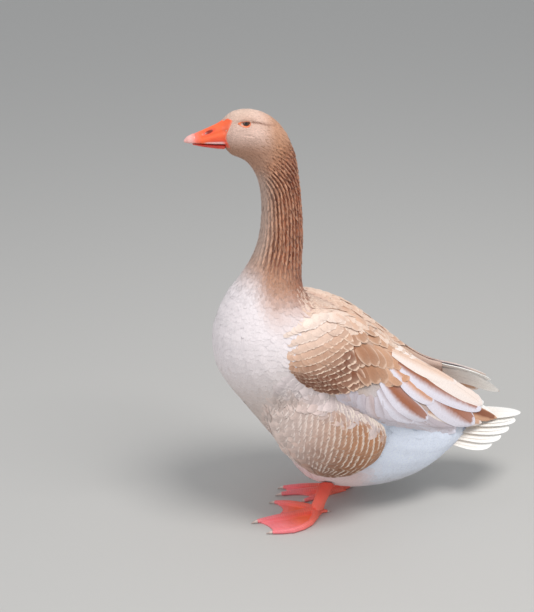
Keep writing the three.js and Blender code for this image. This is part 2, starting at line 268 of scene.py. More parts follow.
def paint(mesh, name, colours):
    """A colour for each vertex, under a name that the material reads."""
    layer = mesh.attributes.new(name, "FLOAT_COLOR", "POINT")
    values = np.concatenate([colours, np.ones((len(colours), 1))], 1)
    layer.data.foreach_set("color", values.astype(np.float32).ravel())


def surface_of(mesh, points):
    faces = [tuple(p.vertices) for p in mesh.polygons]
    return BVHTree.FromPolygons([Vector(p) for p in points], faces)


def drape(surface, points):
    """The nearest places on a surface, and its normals there."""
    found = [surface.find_nearest(Vector(p)) for p in points]
    return np.array([f[0] for f in found], float), np.array([f[1] for f in found], float)


# ---------------------------------------------------------------- markings and painted shade
CROWN = colour(220, 192, 175)
CHEEK = colour(234, 200, 184)
THROAT_SHADE = colour(184, 140, 116)
NAPE_TOP = colour(188, 136, 102)
CREASE_SHADE = colour(110, 66, 48)
NECK_FRONT = colour(198, 168, 152)
NECK_SIDE = colour(192, 132, 98)
NECK_BACK = colour(146, 78, 44)
NECK_RIDGE = colour(240, 190, 158)
NECK_GROOVE_SHADE = colour(84, 34, 18)
NECK_RUST = colour(172, 88, 50)
NECK_FOOT = colour(192, 148, 124)
BREAST = colour(240, 230, 231)
BREAST_LOW_SHADE = colour(200, 184, 174)
BELLY = colour(228, 204, 202)
# The vent's white, with a painted bluish tint of shade.
VENT = colour(234, 241, 255)
VENT_LOW_SHADE = colour(200, 200, 206)
MANTLE = colour(212, 172, 146)
MANTLE_EDGE = colour(240, 218, 200)
SHOULDER = colour(244, 224, 211)
FLANK_FRONT = colour(232, 208, 198)
FLANK_PALE = colour(236, 222, 222)
FLANK_TAN = colour(204, 142, 100)
FLANK_DARK = colour(136, 76, 34)
FLANK_EDGE = colour(240, 224, 208)
COVERT_TAN = colour(216, 172, 145)
COVERT_BROWN = colour(120, 66, 42)
COVERT_EDGE = colour(240, 212, 190)


def body_colours(points):
    """The ground colour of head, neck and trunk at each point, with painted shade under the head, over the eye, in
    the crease behind it, in the neck's furrows, low on the breast and on the vent.
    """
    along, angle, _ = stations(points)
    groove, strength = furrows(points, along, angle)
    x, y, z = points.T
    over_head = ramp(z - 0.25 * x, 694, 722)[:, None]
    # The lower cheek and throat are painted darker: painted shade under the head.
    cheek = mix(THROAT_SHADE, CHEEK, ramp(z, 624, 656)[:, None])
    head = mix(cheek, CROWN, over_head)
    head = mix(head, NAPE_TOP, (ramp(x, -118, -84) * ramp(angle, 1.0, 2.4) * 0.85)[:, None])
    # Painted shade over the eye, under the brow, in the throat's shaded colour.
    shade = bell(z, EYE["z"] + 4, 7) * bell(x, EYE["x"] - 2, 15) * 0.45
    head = mix(head, THROAT_SHADE, shade[:, None])
    # Painted shade in the crease behind the eye.
    head = mix(head, CREASE_SHADE, (eye_crease(points) * 0.8)[:, None])
    neck = mix(NECK_FRONT, NECK_SIDE, ramp(angle, 0.45, 1.2)[:, None])
    # Painted shade under the head, on the upper front of the neck.
    neck = mix(neck, THROAT_SHADE, (ramp(along, 130, 90) * ramp(angle, 1.3, 0.5) * 0.6)[:, None])
    neck = mix(neck, NECK_BACK, ramp(angle, 1.5, 2.6)[:, None])
    neck = mix(neck, NECK_RIDGE, (0.42 * (1 - groove) ** 3 * strength)[:, None])
    # Painted shade in the neck's furrows.
    neck = mix(neck, NECK_GROOVE_SHADE, (0.97 * groove * strength * ramp(angle, 0.35, 1.0))[:, None])
    neck = mix(neck, NECK_FOOT, (0.75 * ramp(along, 240, 290) * ramp(angle, 3.0, 1.6))[:, None])
    # The breast darkens toward its lower part: painted shade.
    low = ramp(z - 0.35 * x, 385, 225)[:, None]
    breast = mix(mix(BREAST, BREAST_LOW_SHADE, low), MANTLE, (ramp(angle, 1.9, 2.6))[:, None] * 0.8)
    breast = mix(breast, FLANK_FRONT, (ramp(x, -130, -95) * ramp(z, 270, 235) * 0.5)[:, None])
    trunk = mix(breast, BELLY, ramp(z, 135, 80)[:, None])
    # The vent darkens toward the bottom: painted shade.
    vent = mix(VENT, VENT_LOW_SHADE, ramp(z, 96, 40)[:, None])
    trunk = mix(trunk, vent, (ramp(x, 30, 80) * ramp(angle, 2.3, 1.8))[:, None])
    found = mix(head, neck, ramp(along, 76, 108)[:, None])
    beside = ramp(angle, 0.7, 1.6)
    return mix(found, trunk, ramp((along - 262 - 22 * beside) / (56 + 40 * beside), 0, 1)[:, None])


# ---------------------------------------------------------------- materials
def node_maker(tree):
    def make(kind, inputs=None, **settings):
        made = tree.nodes.new(kind)
        for key, value in settings.items():
            setattr(made, key, value)
        for key, value in (inputs or {}).items():
            if isinstance(value, bpy.types.NodeSocket):
                tree.links.new(value, made.inputs[key])
            else:
                made.inputs[key].default_value = value
        return made

    return make


def new_material(name, **surface):
    material = bpy.data.materials.new(name)
    material.use_nodes = True
    shader = material.node_tree.nodes["Principled BSDF"]
    for key, value in surface.items():
        shader.inputs[key.replace("_", " ")].default_value = value
    return material, shader, node_maker(material.node_tree)


def math_node(make, operation, a, b=0.0, c=0.0):
    return make("ShaderNodeMath", {0: a, 1: b, 2: c}, operation=operation).outputs[0]


def faded(make, value, start, end):
    made = make("ShaderNodeMapRange", {"Value": value, "From Min": start, "From Max": end})
    made.interpolation_type = "SMOOTHSTEP"
    return made.outputs[0]


def colour_mix(make, share, a, b, blend="MIX"):
    made = make("ShaderNodeMix", data_type="RGBA", blend_type=blend)
    tree = made.id_data
    for index, value in ((0, share), (6, a), (7, b)):
        if isinstance(value, bpy.types.NodeSocket):
            tree.links.new(value, made.inputs[index])
        else:
            made.inputs[index].default_value = value
    return made.outputs[2]


def plumage(
    name, margin, barbs, tip_margin=0.82, bleach=0.3, deepen=0.0, shaft=0.0, roughness=0.8, lower_web=0.0
):
    """A feather's vane: its ground colour, paler toward a margin of another colour at sides and
    tip, with a shaft, fine slanting barbs and a little unevenness."""
    material, shader, make = new_material(
        name, Roughness=roughness, Sheen_Weight=0.18, Sheen_Roughness=0.5, Specular_IOR_Level=0.22
    )
    tree = material.node_tree
    ground = make("ShaderNodeAttribute", attribute_name="ground").outputs["Color"]
    edge = make("ShaderNodeAttribute", attribute_name="edge").outputs["Color"]
    vane = make("ShaderNodeUVMap", uv_map="vane").outputs[0]
    split = make("ShaderNodeSeparateXYZ", {0: vane})
    signed = math_node(make, "MULTIPLY_ADD", split.outputs[0], 2.0, -1.0)
    across = math_node(make, "ABSOLUTE", signed)
    along = split.outputs[1]
    object_place = make("ShaderNodeTexCoord").outputs["Object"]
    stray = make("ShaderNodeTexNoise", {"Vector": object_place, "Scale": 210.0, "Detail": 2.0}).outputs[0]
    frayed = math_node(make, "MULTIPLY_ADD", stray, 0.07, math_node(make, "ADD", along, -0.035))
    side_edge = faded(make, across, margin, 0.98)
    side_edge = math_node(make, "MULTIPLY", side_edge, faded(make, along, 0.25, 0.6))
    tip_edge = faded(make, frayed, tip_margin, 0.97)
    rim = math_node(make, "MAXIMUM", side_edge, tip_edge)
    paler = math_node(make, "MAXIMUM", faded(make, across, 0.2, 1.0), faded(make, along, 0.6, 1.0))
    rim = math_node(make, "MAXIMUM", rim, math_node(make, "MULTIPLY", paler, bleach))
    ragged = math_node(make, "MULTIPLY_ADD", stray, 0.3, signed)
    pale_web = math_node(make, "MULTIPLY", faded(make, ragged, 0.25, -0.45), lower_web)
    rim = math_node(make, "MAXIMUM", rim, pale_web)
    skewed = math_node(make, "MULTIPLY_ADD", along, barbs, math_node(make, "MULTIPLY", across, -barbs * 0.35))
    wave = math_node(make, "SINE", skewed)
    fine = make("ShaderNodeTexNoise", {"Vector": object_place, "Scale": 420.0, "Detail": 3.0})
    toned = colour_mix(make, rim, ground, edge)
    shade = math_node(make, "MULTIPLY_ADD", fine.outputs[0], 0.3, 0.85)
    shade = math_node(make, "MULTIPLY_ADD", wave, 0.03, shade)
    middle = faded(make, along, 0.45, 0.85)
    middle = math_node(make, "MULTIPLY", middle, faded(make, along, 0.97, 0.88))
    shade = math_node(make, "MULTIPLY_ADD", middle, -deepen, shade)
    shade = math_node(make, "MULTIPLY_ADD", faded(make, across, 0.06, 0.015), -shaft, shade)
    grey = make("ShaderNodeCombineColor", {0: shade, 1: shade, 2: shade}).outputs[0]
    tree.links.new(colour_mix(make, 1.0, toned, grey, "MULTIPLY"), shader.inputs["Base Color"])
    height = math_node(make, "MULTIPLY_ADD", wave, 0.5, fine.outputs[0])
    bump = make("ShaderNodeBump", {"Strength": 0.3, "Distance": 0.0003, "Height": height})
    tree.links.new(bump.outputs[0], shader.inputs["Normal"])
    return material


def skin_cover():
    """The down next to the skin, in the coat's own markings and painted shade."""
    material, shader, make = new_material("down", Roughness=0.9, Specular_IOR_Level=0.15)
    tree = material.node_tree
    ground = make("ShaderNodeAttribute", attribute_name="ground").outputs["Color"]
    object_place = make("ShaderNodeTexCoord").outputs["Object"]
    fine = make("ShaderNodeTexNoise", {"Vector": object_place, "Scale": 500.0, "Detail": 4.0})
    shade = math_node(make, "MULTIPLY_ADD", fine.outputs[0], 0.5, 0.6)
    grey = make("ShaderNodeCombineColor", {0: shade, 1: shade, 2: shade}).outputs[0]
    tree.links.new(colour_mix(make, 1.0, ground, grey, "MULTIPLY"), shader.inputs["Base Color"])
    bump = make("ShaderNodeBump", {"Strength": 0.5, "Distance": 0.0006, "Height": fine.outputs[0]})
    tree.links.new(bump.outputs[0], shader.inputs["Normal"])
    return material


def horny(name, roughness, mottle, mottle_scale, bump_strength, bump_scale, coat=0.0):
    """Bare parts: bill, feet, lids and claws, painted along the piece and mottled."""
    material, shader, make = new_material(
        name, Roughness=roughness, Coat_Weight=coat, Coat_Roughness=0.25, Subsurface_Weight=0.08,
        Subsurface_Radius=(0.004, 0.0015, 0.001), Subsurface_Scale=1.0,
    )
    tree = material.node_tree
    ground = make("ShaderNodeAttribute", attribute_name="ground").outputs["Color"]
    object_place = make("ShaderNodeTexCoord").outputs["Object"]
    cloud = make("ShaderNodeTexNoise", {"Vector": object_place, "Scale": mottle_scale, "Detail": 5.0})
    cells = make("ShaderNodeTexVoronoi", {"Vector": object_place, "Scale": bump_scale})
    shade = math_node(make, "MULTIPLY_ADD", cloud.outputs[0], mottle * 2, 1 - mottle)
    grey = make("ShaderNodeCombineColor", {0: shade, 1: shade, 2: shade}).outputs[0]
    tree.links.new(colour_mix(make, 1.0, ground, grey, "MULTIPLY"), shader.inputs["Base Color"])
    height = math_node(make, "MULTIPLY_ADD", cells.outputs[0], 0.6, cloud.outputs[0])
    bump = make("ShaderNodeBump", {"Strength": bump_strength, "Distance": 0.0004, "Height": height})
    tree.links.new(bump.outputs[0], shader.inputs["Normal"])
    return material


# ---------------------------------------------------------------- the skin
FLESH = ["head", "neck_upper", "neck_lower", "trunk", "flank_left", "flank_right"]
WINGS = ["wing_left", "wing_right"]
SKIN_VOXEL = 2.55
WING_SKIN_ENDS = 214.0
TAIL_MASS = {"centre": (222, 0, 113), "radii": (52, 30, 19)}
COAT_DEPTH = [[0, 1.0], [60, 1.3], [100, 2.2], [150, 2.8], [240, 3.0], [300, 3.0], [380, 3.2], [900, 3.2]]
NECK_DOWN = 1.4


def coat_depth(along):
    return np.interp(along, *np.transpose(COAT_DEPTH))


def without_wing_tips(bm):
    """Cuts the wings' free ends off, where only stiff feathers are."""
    for node in WINGS:
        wing = cad_solid(node)
        everything = wing.verts[:] + wing.edges[:] + wing.faces[:]
        plane = metres((WING_SKIN_ENDS, 0, 0))
        bmesh.ops.bisect_plane(wing, geom=everything, plane_co=plane, plane_no=(1, 0, 0), clear_outer=True)
        rims = [e for e in wing.edges if e.is_boundary]
        bmesh.ops.holes_fill(wing, edges=rims, sides=0)
        short = bpy.data.meshes.new("short_wing")
        wing.to_mesh(short)
        wing.free()
        bm.from_mesh(short)
        bpy.data.meshes.remove(short)


def build_skin():
    """The skin itself, and the plain surface under the coat that the feathers are laid on."""
    bm = cad_solid(*FLESH, "eye_left", "eye_right")
    without_wing_tips(bm)
    ball(bm, TAIL_MASS["centre"], TAIL_MASS["radii"])
    mesh = remeshed(bm, SKIN_VOXEL, 8)
    mesh.name = "skin"
    outside, outward = places(mesh), normals(mesh)
    along, angle, _ = stations(outside)
    under_coat = outside - outward * coat_depth(along)[:, None]
    _, strength = furrows(outside, along, angle)
    lowered = relief(outside) - NECK_DOWN * strength
    move_to(mesh, under_coat + outward * lowered[:, None])
    paint(mesh, "ground", body_colours(outside))
    mesh.materials.append(skin_cover())
    piece = linked("skin", mesh)
    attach(piece, "root")
    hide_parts(*FLESH, *WINGS)
    return mesh, under_coat


# ---------------------------------------------------------------- feathers
def outline(u, root=0.35, widest=0.6, tip=0.3):
    """Half a vane's width along its length, as a share: narrow root, full middle, round tip."""
    rise = root + (1 - root) * np.sin(np.clip(u / widest, 0, 1) * math.pi / 2)
    fall = np.sqrt(1 - (1 - tip**2) * np.clip((u - widest) / (1 - widest), 0, 1) ** 2)
    return rise * fall


def vane_shape(rows, columns, **shape):
    """A feather as a thin closed shell: a domed grid above and one flat strip below. Gives each
    corner's place along (0 to 1), across (-1 to 1, before its width) and height (0 to 1)."""
    u, v, w, h, faces, upper = [], [], [], [], [], []
    for row in rows:
        for k in range(columns):
            share = 2 * k / (columns - 1) - 1
            u.append(row)
            v.append(share)
            w.append(share * float(outline(np.array(row), **shape)))
            h.append((1 - share * share) ** 0.8)
    for r in range(len(rows) - 1):
        a, b = r * columns, (r + 1) * columns
        for k in range(columns - 1):
            faces.append((a + k, a + k + 1, b + k + 1, b + k))
            upper.append(True)
        faces.append((a, b, b + columns - 1, a + columns - 1))
        upper.append(False)
    last = (len(rows) - 1) * columns
    faces.append(tuple(range(columns - 1, -1, -1)))
    faces.append(tuple(range(last, last + columns)))
    upper += [False, False]
    return {"u": np.array(u), "v": np.array(v), "w": np.array(w), "h": np.array(h), "faces": faces, "upper": upper}


def tuft_shape():
    """The smallest tuft: a leaf of six triangles."""
    u = np.array([0.0, 0.55, 0.55, 0.5, 1.0])
    v = np.array([0.0, -1.0, 1.0, 0.0, 0.0])
    h = np.array([0.0, 0.0, 0.0, 1.0, 0.0])
    faces = [(0, 3, 1), (1, 3, 4), (4, 3, 2), (2, 3, 0), (0, 1, 2), (1, 4, 2)]
    return {"u": u, "v": v, "w": v, "h": h, "faces": faces, "upper": [True] * 4 + [False] * 2}


def lock_shape():
    """A narrow pointed lock of the neck, with a keel."""
    u = np.array([0.0, 0.35, 0.35, 0.35, 0.75, 0.75, 0.75, 1.0])
    v = np.array([0.0, -1.0, 0.0, 1.0, -0.8, 0.0, 0.8, 0.0])
    h = np.array([0.0, 0.0, 1.0, 0.0, 0.0, 0.8, 0.0, 0.1])
    faces = [(0, 2, 1), (0, 3, 2), (1, 2, 5, 4), (2, 3, 6, 5), (4, 5, 7), (5, 6, 7)]
    below = [(0, 1, 3), (1, 4, 6, 3), (4, 7, 6)]
    return {"u": u, "v": v, "w": v, "h": h, "faces": faces + below, "upper": [True] * 6 + [False] * 3}


TUFT = tuft_shape()
LOCK = lock_shape()
CONTOUR = vane_shape([0, 0.35, 0.6, 0.78, 0.92, 1], 5)
SMALL = vane_shape([0, 0.4, 0.7, 0.9, 1], 3, tip=0.35)
COVERT = vane_shape([0, 0.3, 0.5, 0.66, 0.79, 0.89, 0.96, 1], 9, root=0.3, widest=0.6, tip=0.22)
QUILL = vane_shape(
    [0, 0.12, 0.25, 0.38, 0.5, 0.6, 0.7, 0.78, 0.85, 0.9, 0.94, 0.97, 0.99, 1], 9, root=0.45, widest=0.5, tip=0.1
)
OF_PATCH = 0.003


def mesh_of(name, points, faces, upper):
    """A mesh from arrays. Edges where a vane's upper side meets its underside are sharp."""
    mesh = bpy.data.meshes.new(name)
    starts = np.cumsum([0] + [len(f) for f in faces[0]])
    per = starts[-1]
    flat = np.array([i for f in faces[0] for i in f])
    count, corners = points.shape[0], points.shape[1]
    loops = (flat[None] + np.arange(count)[:, None] * corners).ravel()
    begin = (starts[:-1][None] + np.arange(count)[:, None] * per).ravel()
    mesh.vertices.add(count * corners)
    mesh.vertices.foreach_set("co", metres(points.reshape(-1, 3)).astype(np.float32).ravel())
    mesh.loops.add(len(loops))
    mesh.loops.foreach_set("vertex_index", loops.astype(np.int32))
    mesh.polygons.add(len(begin))
    mesh.polygons.foreach_set("loop_start", begin.astype(np.int32))
    mesh.update(calc_edges=True)
    mesh.polygons.foreach_set("use_smooth", np.ones(len(begin), bool))
    edge_of = np.empty(len(loops), np.int32)
    mesh.loops.foreach_get("edge_index", edge_of)
    sizes = np.diff(starts)
    on_top = np.tile(np.repeat(np.array(upper), sizes), count)
    tops = np.bincount(edge_of[on_top], minlength=len(mesh.edges))
    bottoms = np.bincount(edge_of[~on_top], minlength=len(mesh.edges))
    sharp = mesh.attributes.new("sharp_edge", "BOOLEAN", "EDGE")
    sharp.data.foreach_set("value", (tops > 0) & (bottoms > 0))
    return mesh, loops


def uv_map(mesh, name, per_vertex, loops):
    layer = mesh.uv_layers.new(name=name)
    layer.uv.foreach_set("vector", per_vertex[loops].astype(np.float32).ravel())


class Coat:
    """One piece of plumage: every feather of one shape, laid first and made a mesh at the end."""

    def __init__(self, name, shape, slot, material):
        self.name, self.shape, self.slot, self.material = name, shape, slot, material
        self.points, self.ground, self.edge, self.roots = [], [], [], []

    def add(self, points, ground, edge, roots):
        self.points.append(points)
        self.ground.append(np.broadcast_to(ground, (len(points), 3)))
        self.edge.append(np.broadcast_to(edge, (len(points), 3)))
        self.roots.append(roots)

    def finish(self):
        points = np.concatenate(self.points)
        ground, edge = np.concatenate(self.ground), np.concatenate(self.edge)
        roots = np.concatenate(self.roots)
        shape = self.shape
        mesh, loops = mesh_of(self.name, points, [shape["faces"]], shape["upper"])
        corners = points.shape[1]
        paint(mesh, "ground", np.repeat(ground, corners, 0))
        paint(mesh, "edge", np.repeat(edge, corners, 0))
        vane = np.stack([shape["v"] * 0.5 + 0.5, shape["u"]], 1)
        uv_map(mesh, "vane", np.tile(vane, (len(points), 1)), loops)
        along, angle, _ = stations(roots)
        round_about = 0.5 + 0.5 * angle / math.pi * np.sign(roots[:, 1] + 1e-6)
        place = np.stack([along / SPINE_LENGTH, round_about], 1) * 0.99 + 0.005
        patch = (np.stack([shape["w"] * 0.5, shape["u"] - 0.5], 1)) * OF_PATCH
        uv_map(mesh, "OFBake", (place[:, None] + patch[None]).reshape(-1, 2), loops)
        mesh.materials.append(self.material)
        piece = linked(self.name, mesh)
        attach(piece, "root")
        return piece


def laid(surface, shape, roots, lie, length, width, lift, thick, draw, sink=0.5, ridged=False, fray=0.014, tilt=0.0):
    """Feathers on a surface: each bends with it, rises from under its neighbours and is domed."""
    start, up0 = drape(surface, roots)
    lie = unit(lie - dot(lie, up0) * up0)
    middle, up1 = drape(surface, start + lie * (length * 0.5)[:, None])
    onward = unit(middle - start)
    onward = unit(onward - dot(onward, up1) * up1)
    end, up2 = drape(surface, middle + onward * (length * 0.5)[:, None])
    across = unit(np.cross(up1, onward))
    half = (width * 0.5)[:, None]
    left, _ = drape(surface, middle - across * half)
    right, _ = drape(surface, middle + across * half)
    sag = (dot(left - middle, up1) + dot(right - middle, up1)) * 0.5
    u, w, h = (shape[k][None, :, None] for k in "uwh")
    a, b, c = (p[:, None] for p in (start, middle, end))
    line = a * (1 - u) * (1 - 2 * u) + b * 4 * u * (1 - u) + c * u * (2 * u - 1)
    up = unit(up0[:, None] * (1 - u) + up2[:, None] * u + up1[:, None] * 0.6)
    side = across[:, None]
    count = len(roots)
    fringe = draw.normal(0, fray, (count, len(shape["u"]), 1)) * (u > 0.7) * length[:, None, None]
    points = line + side * w * half[:, None] + up * sag[:, None] * w**2
    points = points + unit(c - b) * fringe
    rise = -sink + (lift[:, None, None] + sink) * u**0.8 + tilt * w
    points = points + up * (rise + h * thick[:, None, None] * (1 - 0.55 * u))
    if ridged:
        flat = points.reshape(-1, 3)
        points = points + up * relief(flat).reshape(count, -1, 1)
    return points


def scattered(points, spacing, draw):
    """Picks from candidate points so that no two are closer than their own spacing."""
    order = draw.permutation(len(points))
    cell = float(np.max(spacing))
    grid, kept = {}, []
    keys = np.floor(points / cell).astype(int)
    for i in order:
        x, y, z = keys[i]
        p, gap = points[i], spacing[i] ** 2
        near = False
        for a in (x - 1, x, x + 1):
            for b in (y - 1, y, y + 1):
                for c in (z - 1, z, z + 1):
                    for q in grid.get((a, b, c), ()):
                        d = p - q
                        if d[0] * d[0] + d[1] * d[1] + d[2] * d[2] < gap:
                            near = True
                            break
                    if near:
                        break
                if near:
                    break
            if near:
                break
        if not near:
            grid.setdefault((x, y, z), []).append(p)
            kept.append(i)
    return np.array(kept, int)


def candidates(mesh, points, wanted, density, draw):
    """Random points on the faces that "wanted" picks by their middles, with their normals."""
    mesh.calc_loop_triangles()
    tri = np.empty(len(mesh.loop_triangles) * 3, np.int32)
    mesh.loop_triangles.foreach_get("vertices", tri)
    corner = points[tri.reshape(-1, 3)]
    middle = corner.mean(1)
    cross = np.cross(corner[:, 1] - corner[:, 0], corner[:, 2] - corner[:, 0])
    area = np.linalg.norm(cross, axis=1) / 2
    chosen = wanted(middle, unit(cross))
    corner, area, cross = corner[chosen], area[chosen], cross[chosen]
    count = int(area.sum() * density)
    pick = draw.choice(len(area), count, p=area / area.sum())
    r1, r2 = np.sqrt(draw.random(count))[:, None], draw.random(count)[:, None]
    c = corner[pick]
    return c[:, 0] * (1 - r1) + c[:, 1] * r1 * (1 - r2) + c[:, 2] * r1 * r2, unit(cross[pick])


# ---------------------------------------------------------------- which part a point is on
class Parts:
    """Tells which solid a point under the coat belongs to."""

    NEAR = 5.5

    def __init__(self):
        self.trees = {}
        for node in ["flank_left", "flank_right", *WINGS, "trunk"]:
            bm = cad_solid(node)
            self.trees[node] = BVHTree.FromBMesh(bm)
            bm.free()

    def on(self, node, points):
        tree = self.trees[node]
        return np.array([tree.find_nearest(Vector(p))[3] / MM for p in metres(points)]) < self.NEAR


def tilted(lie, up, degrees):
    """Directions turned about their normals."""
    angle = np.radians(degrees)[:, None]
    return lie * np.cos(angle) + np.cross(up, lie) * np.sin(angle)


skin_mesh, under_coat = build_skin()
skin_surface = surface_of(skin_mesh, under_coat)
parts = Parts()

FINE = plumage("fine_plumage", 0.75, 60.0, bleach=0.2)
BODY = plumage("body_plumage", 0.75, 90.0, 0.86, 0.2)
WING_FINISH = plumage("wing_plumage", 0.97, 110.0, 0.91, 0.18, 0.12)
LEAF_FINISH = plumage("leaf_plumage", 0.62, 130.0, 0.85, 0.34, 0.1, 0.06)
FLANK_FINISH = plumage("flank_plumage", 0.975, 110.0, 0.915, 0.1, 0.22)
SOFT = plumage("soft_plumage", 0.7, 130.0, 0.85, 0.45)
STIFF = plumage("quill_plumage", 0.78, 330.0, 0.93, 0.12, 0.0, 0.1, 0.65, 0.95)
TAIL_FINISH = plumage("tail_plumage", 0.6, 330.0, 0.35, 0.5, 0.0, 0.08, 0.65)
TAIL_TAN = colour(250, 236, 222)
LEAF_TAN = colour(218, 166, 130)
WHITE = colour(252, 250, 246)
BILL_HORN = horny("bill_horn", 0.38, 0.1, 90.0, 0.25, 900.0, 0.2)
LID_SKIN = horny("lid_skin", 0.5, 0.1, 200.0, 0.3, 1600.0)
LEG_SKIN = horny("leg_skin", 0.52, 0.14, 70.0, 0.4, 700.0)
CLAW_HORN = horny("claw_horn", 0.4, 0.1, 200.0, 0.15, 900.0)
EYE_GLOSS = horny("eye_gloss", 0.06, 0.02, 200.0, 0.0, 900.0, 1.0)


FEATHER_LINE = {
    "z": [600, 632, 640, 646, 652, 664, 670, 673, 674.5, 677, 690],
    "x": [-154, -155, -159, -161, -160, -155.3, -152.3, -151, -155, -166, -190],
}


def bill_edge(points):
    """How far behind the bill's feather line each point is, in mm. Over the bill's ridge the
    feathers reach forward in a point."""
    x, y, z = points.T
    line = np.interp(z, FEATHER_LINE["z"], FEATHER_LINE["x"])
    line = line - 12 * ramp(z, 666, 671) * ramp(np.abs(y), 8.5, 3.0)
    return x - line


def eye_room(points):
    """Distance from the eye's opening, 1 at the rim of its bare skin."""
    x, y, z = points.T
    dx, dz = x - EYE["x"], z - EYE["z"]
    reach = np.where(dx < 0, 12.0, 6.4)
    high = np.where(dz > 0, 4.2, 5.6)
    taper = mix(1.0, 0.75, ramp(-dx, 4, 12))
    return np.where(np.abs(y) > 9, np.hypot(dx / reach, dz / (high * taper)), 9.0)


def head_coat(draw):
    def wanted(middle, _):
        along, _, _ = stations(middle)
        return (along < 112) & (middle[:, 2] > 540)

    points, up = candidates(skin_mesh, under_coat, wanted, 1.6, draw)
    keep = (bill_edge(points) > 0) & (eye_room(points) > 1.0)
    points, up = points[keep], up[keep]
    along, angle, ahead = stations(points)
    spacing = mix(1.35, 2.2, ramp(along, 30, 105))
    spacing = spacing * mix(0.75, 1.0, ramp(eye_room(points), 1.0, 2.2))
    kept = scattered(points, spacing, draw)
    points, up, along, angle, ahead = points[kept], up[kept], along[kept], angle[kept], ahead[kept]
    count = len(points)
    grown = mix(0.8, 1.0, ramp(eye_room(points), 1.0, 2.0)) * mix(0.65, 1.0, ramp(bill_edge(points), 0, 9))
    length = mix(4.2, 8.0, ramp(along, 30, 105)) * draw.uniform(0.85, 1.2, count) * grown
    width = mix(2.3, 3.4, ramp(along, 30, 105)) * draw.uniform(0.85, 1.15, count)
    lie = tilted(unit(ahead - dot(ahead, up) * up), up, draw.normal(0, 7, count))
    lift = mix(0.55, 1.1, ramp(along, 30, 105)) * draw.uniform(0.7, 1.3, count)
    laid_points = laid(skin_surface, TUFT, points, lie, length, width, lift, lift * 0 + 0.45, draw, 0.3, True)
    ground = body_colours(points) * draw.normal(1, 0.035, (count, 1))
    coat = Coat("coat_head", TUFT, "plumage_pale", FINE)
    coat.add(laid_points, ground, mix(ground, 1.0, 0.12), points)
    return coat.finish()


def neck_coat(draw):
    def wanted(middle, _):
        along, _, _ = stations(middle)
        return (along > 96) & (along < 318) & (middle[:, 2] > 355)

    points, up = candidates(skin_mesh, under_coat, wanted, 0.9, draw)
    along, angle, ahead = stations(points)
    spacing = mix(1.9, 2.3, ramp(along, 100, 200)) + 1.8 * ramp(along, 262, 305)
    kept = scattered(points, spacing, draw)
    points, up, along, angle, ahead = points[kept], up[kept], along[kept], angle[kept], ahead[kept]
    count = len(points)
    groove, strength = furrows(points, along, angle)
    length = mix(9.0, 15.0, ramp(along, 100, 200)) * draw.uniform(0.85, 1.2, count)
    width = mix(2.7, 3.3, ramp(along, 100, 200)) * draw.uniform(0.85, 1.15, count) + 3.6 * ramp(along, 262, 305)
    lie = unit(ahead - dot(ahead, up) * up)
    turn = mix(*FURROW_SLANT, np.clip((along - 90) / 75, 0, 1)) * strength * np.sign(points[:, 1])
    lie = tilted(lie, up, -turn * 0.9 + draw.normal(0, 3.5, count))
    lift = (1.4 + 0.6 * strength * (1 - groove)) * draw.uniform(0.7, 1.25, count)
    laid_points = laid(skin_surface, LOCK, points, lie, length, width, lift, lift * 0 + 0.7, draw, 0.4, True)
    ground = body_colours(points + lie * 3) * draw.normal(0.92, 0.07, (count, 1))
    rusty = (0.4 * draw.random(count) ** 2 * strength * ramp(angle, 0.8, 1.6))[:, None]
    ground = mix(ground, NECK_RUST, rusty)
    for side in SIDES:
        half = points[:, 1] * SIDES[side] >= 0
        coat = Coat(f"coat_neck_{side}", LOCK, "plumage_buff", FINE)
        coat.add(laid_points[half], ground[half], mix(ground[half], 1.0, 0.16), points[half])
        coat.finish()


def body_coat(draw):
    def wanted(middle, _):
        along, _, _ = stations(middle)
        return (along > 286) | (middle[:, 2] < 355)

    points, up = candidates(skin_mesh, under_coat, wanted, 0.1, draw)
    beside = np.abs(points[:, 1]) > 30
    covered = np.zeros(len(points), bool)
    for node in ["flank_left", "flank_right", *WINGS]:
        check = np.where(beside | (points[:, 0] > 0))[0]
        on_node = parts.on(node, points[check])
        front = -69 if node in WINGS else -80
        covered[check] |= on_node & (points[check, 0] > front + draw.normal(0, 2.5, len(check)))
    points, up = points[~covered], up[~covered]
    along, angle, ahead = stations(points)
    spacing = mix(4.2, 5.0, ramp(along, 290, 350))
    kept = scattered(points, spacing, draw)
    points, up, along, angle, ahead = points[kept], up[kept], along[kept], angle[kept], ahead[kept]
    count = len(points)
    length = mix(17, 27, ramp(along, 290, 420)) * draw.uniform(0.9, 1.15, count)
    width = mix(10, 15, ramp(along, 290, 400)) * draw.uniform(0.9, 1.1, count)
    lie = tilted(unit(ahead - dot(ahead, up) * up), up, draw.normal(0, 3, count))
    lift = mix(0.95, 1.1, ramp(along, 290, 380)) * draw.uniform(0.98, 1.02, count)
    thick = np.full(count, 0.16)
    laid_points = laid(skin_surface, CONTOUR, points, lie, length, width, lift, thick, draw, 0.1, fray=0.006)
    ends = points + lie * (length * 0.6)[:, None]
    ground = body_colours(ends) * draw.normal(1, 0.012, (count, 1))
    edge = mix(ground, 1.0, 0.08)
    for side in SIDES:
        half = points[:, 1] * SIDES[side] >= 0
        coat = Coat(f"coat_body_{side}", CONTOUR, "plumage_pale", BODY)
        coat.add(laid_points[half], ground[half], edge[half], points[half])
        coat.finish()


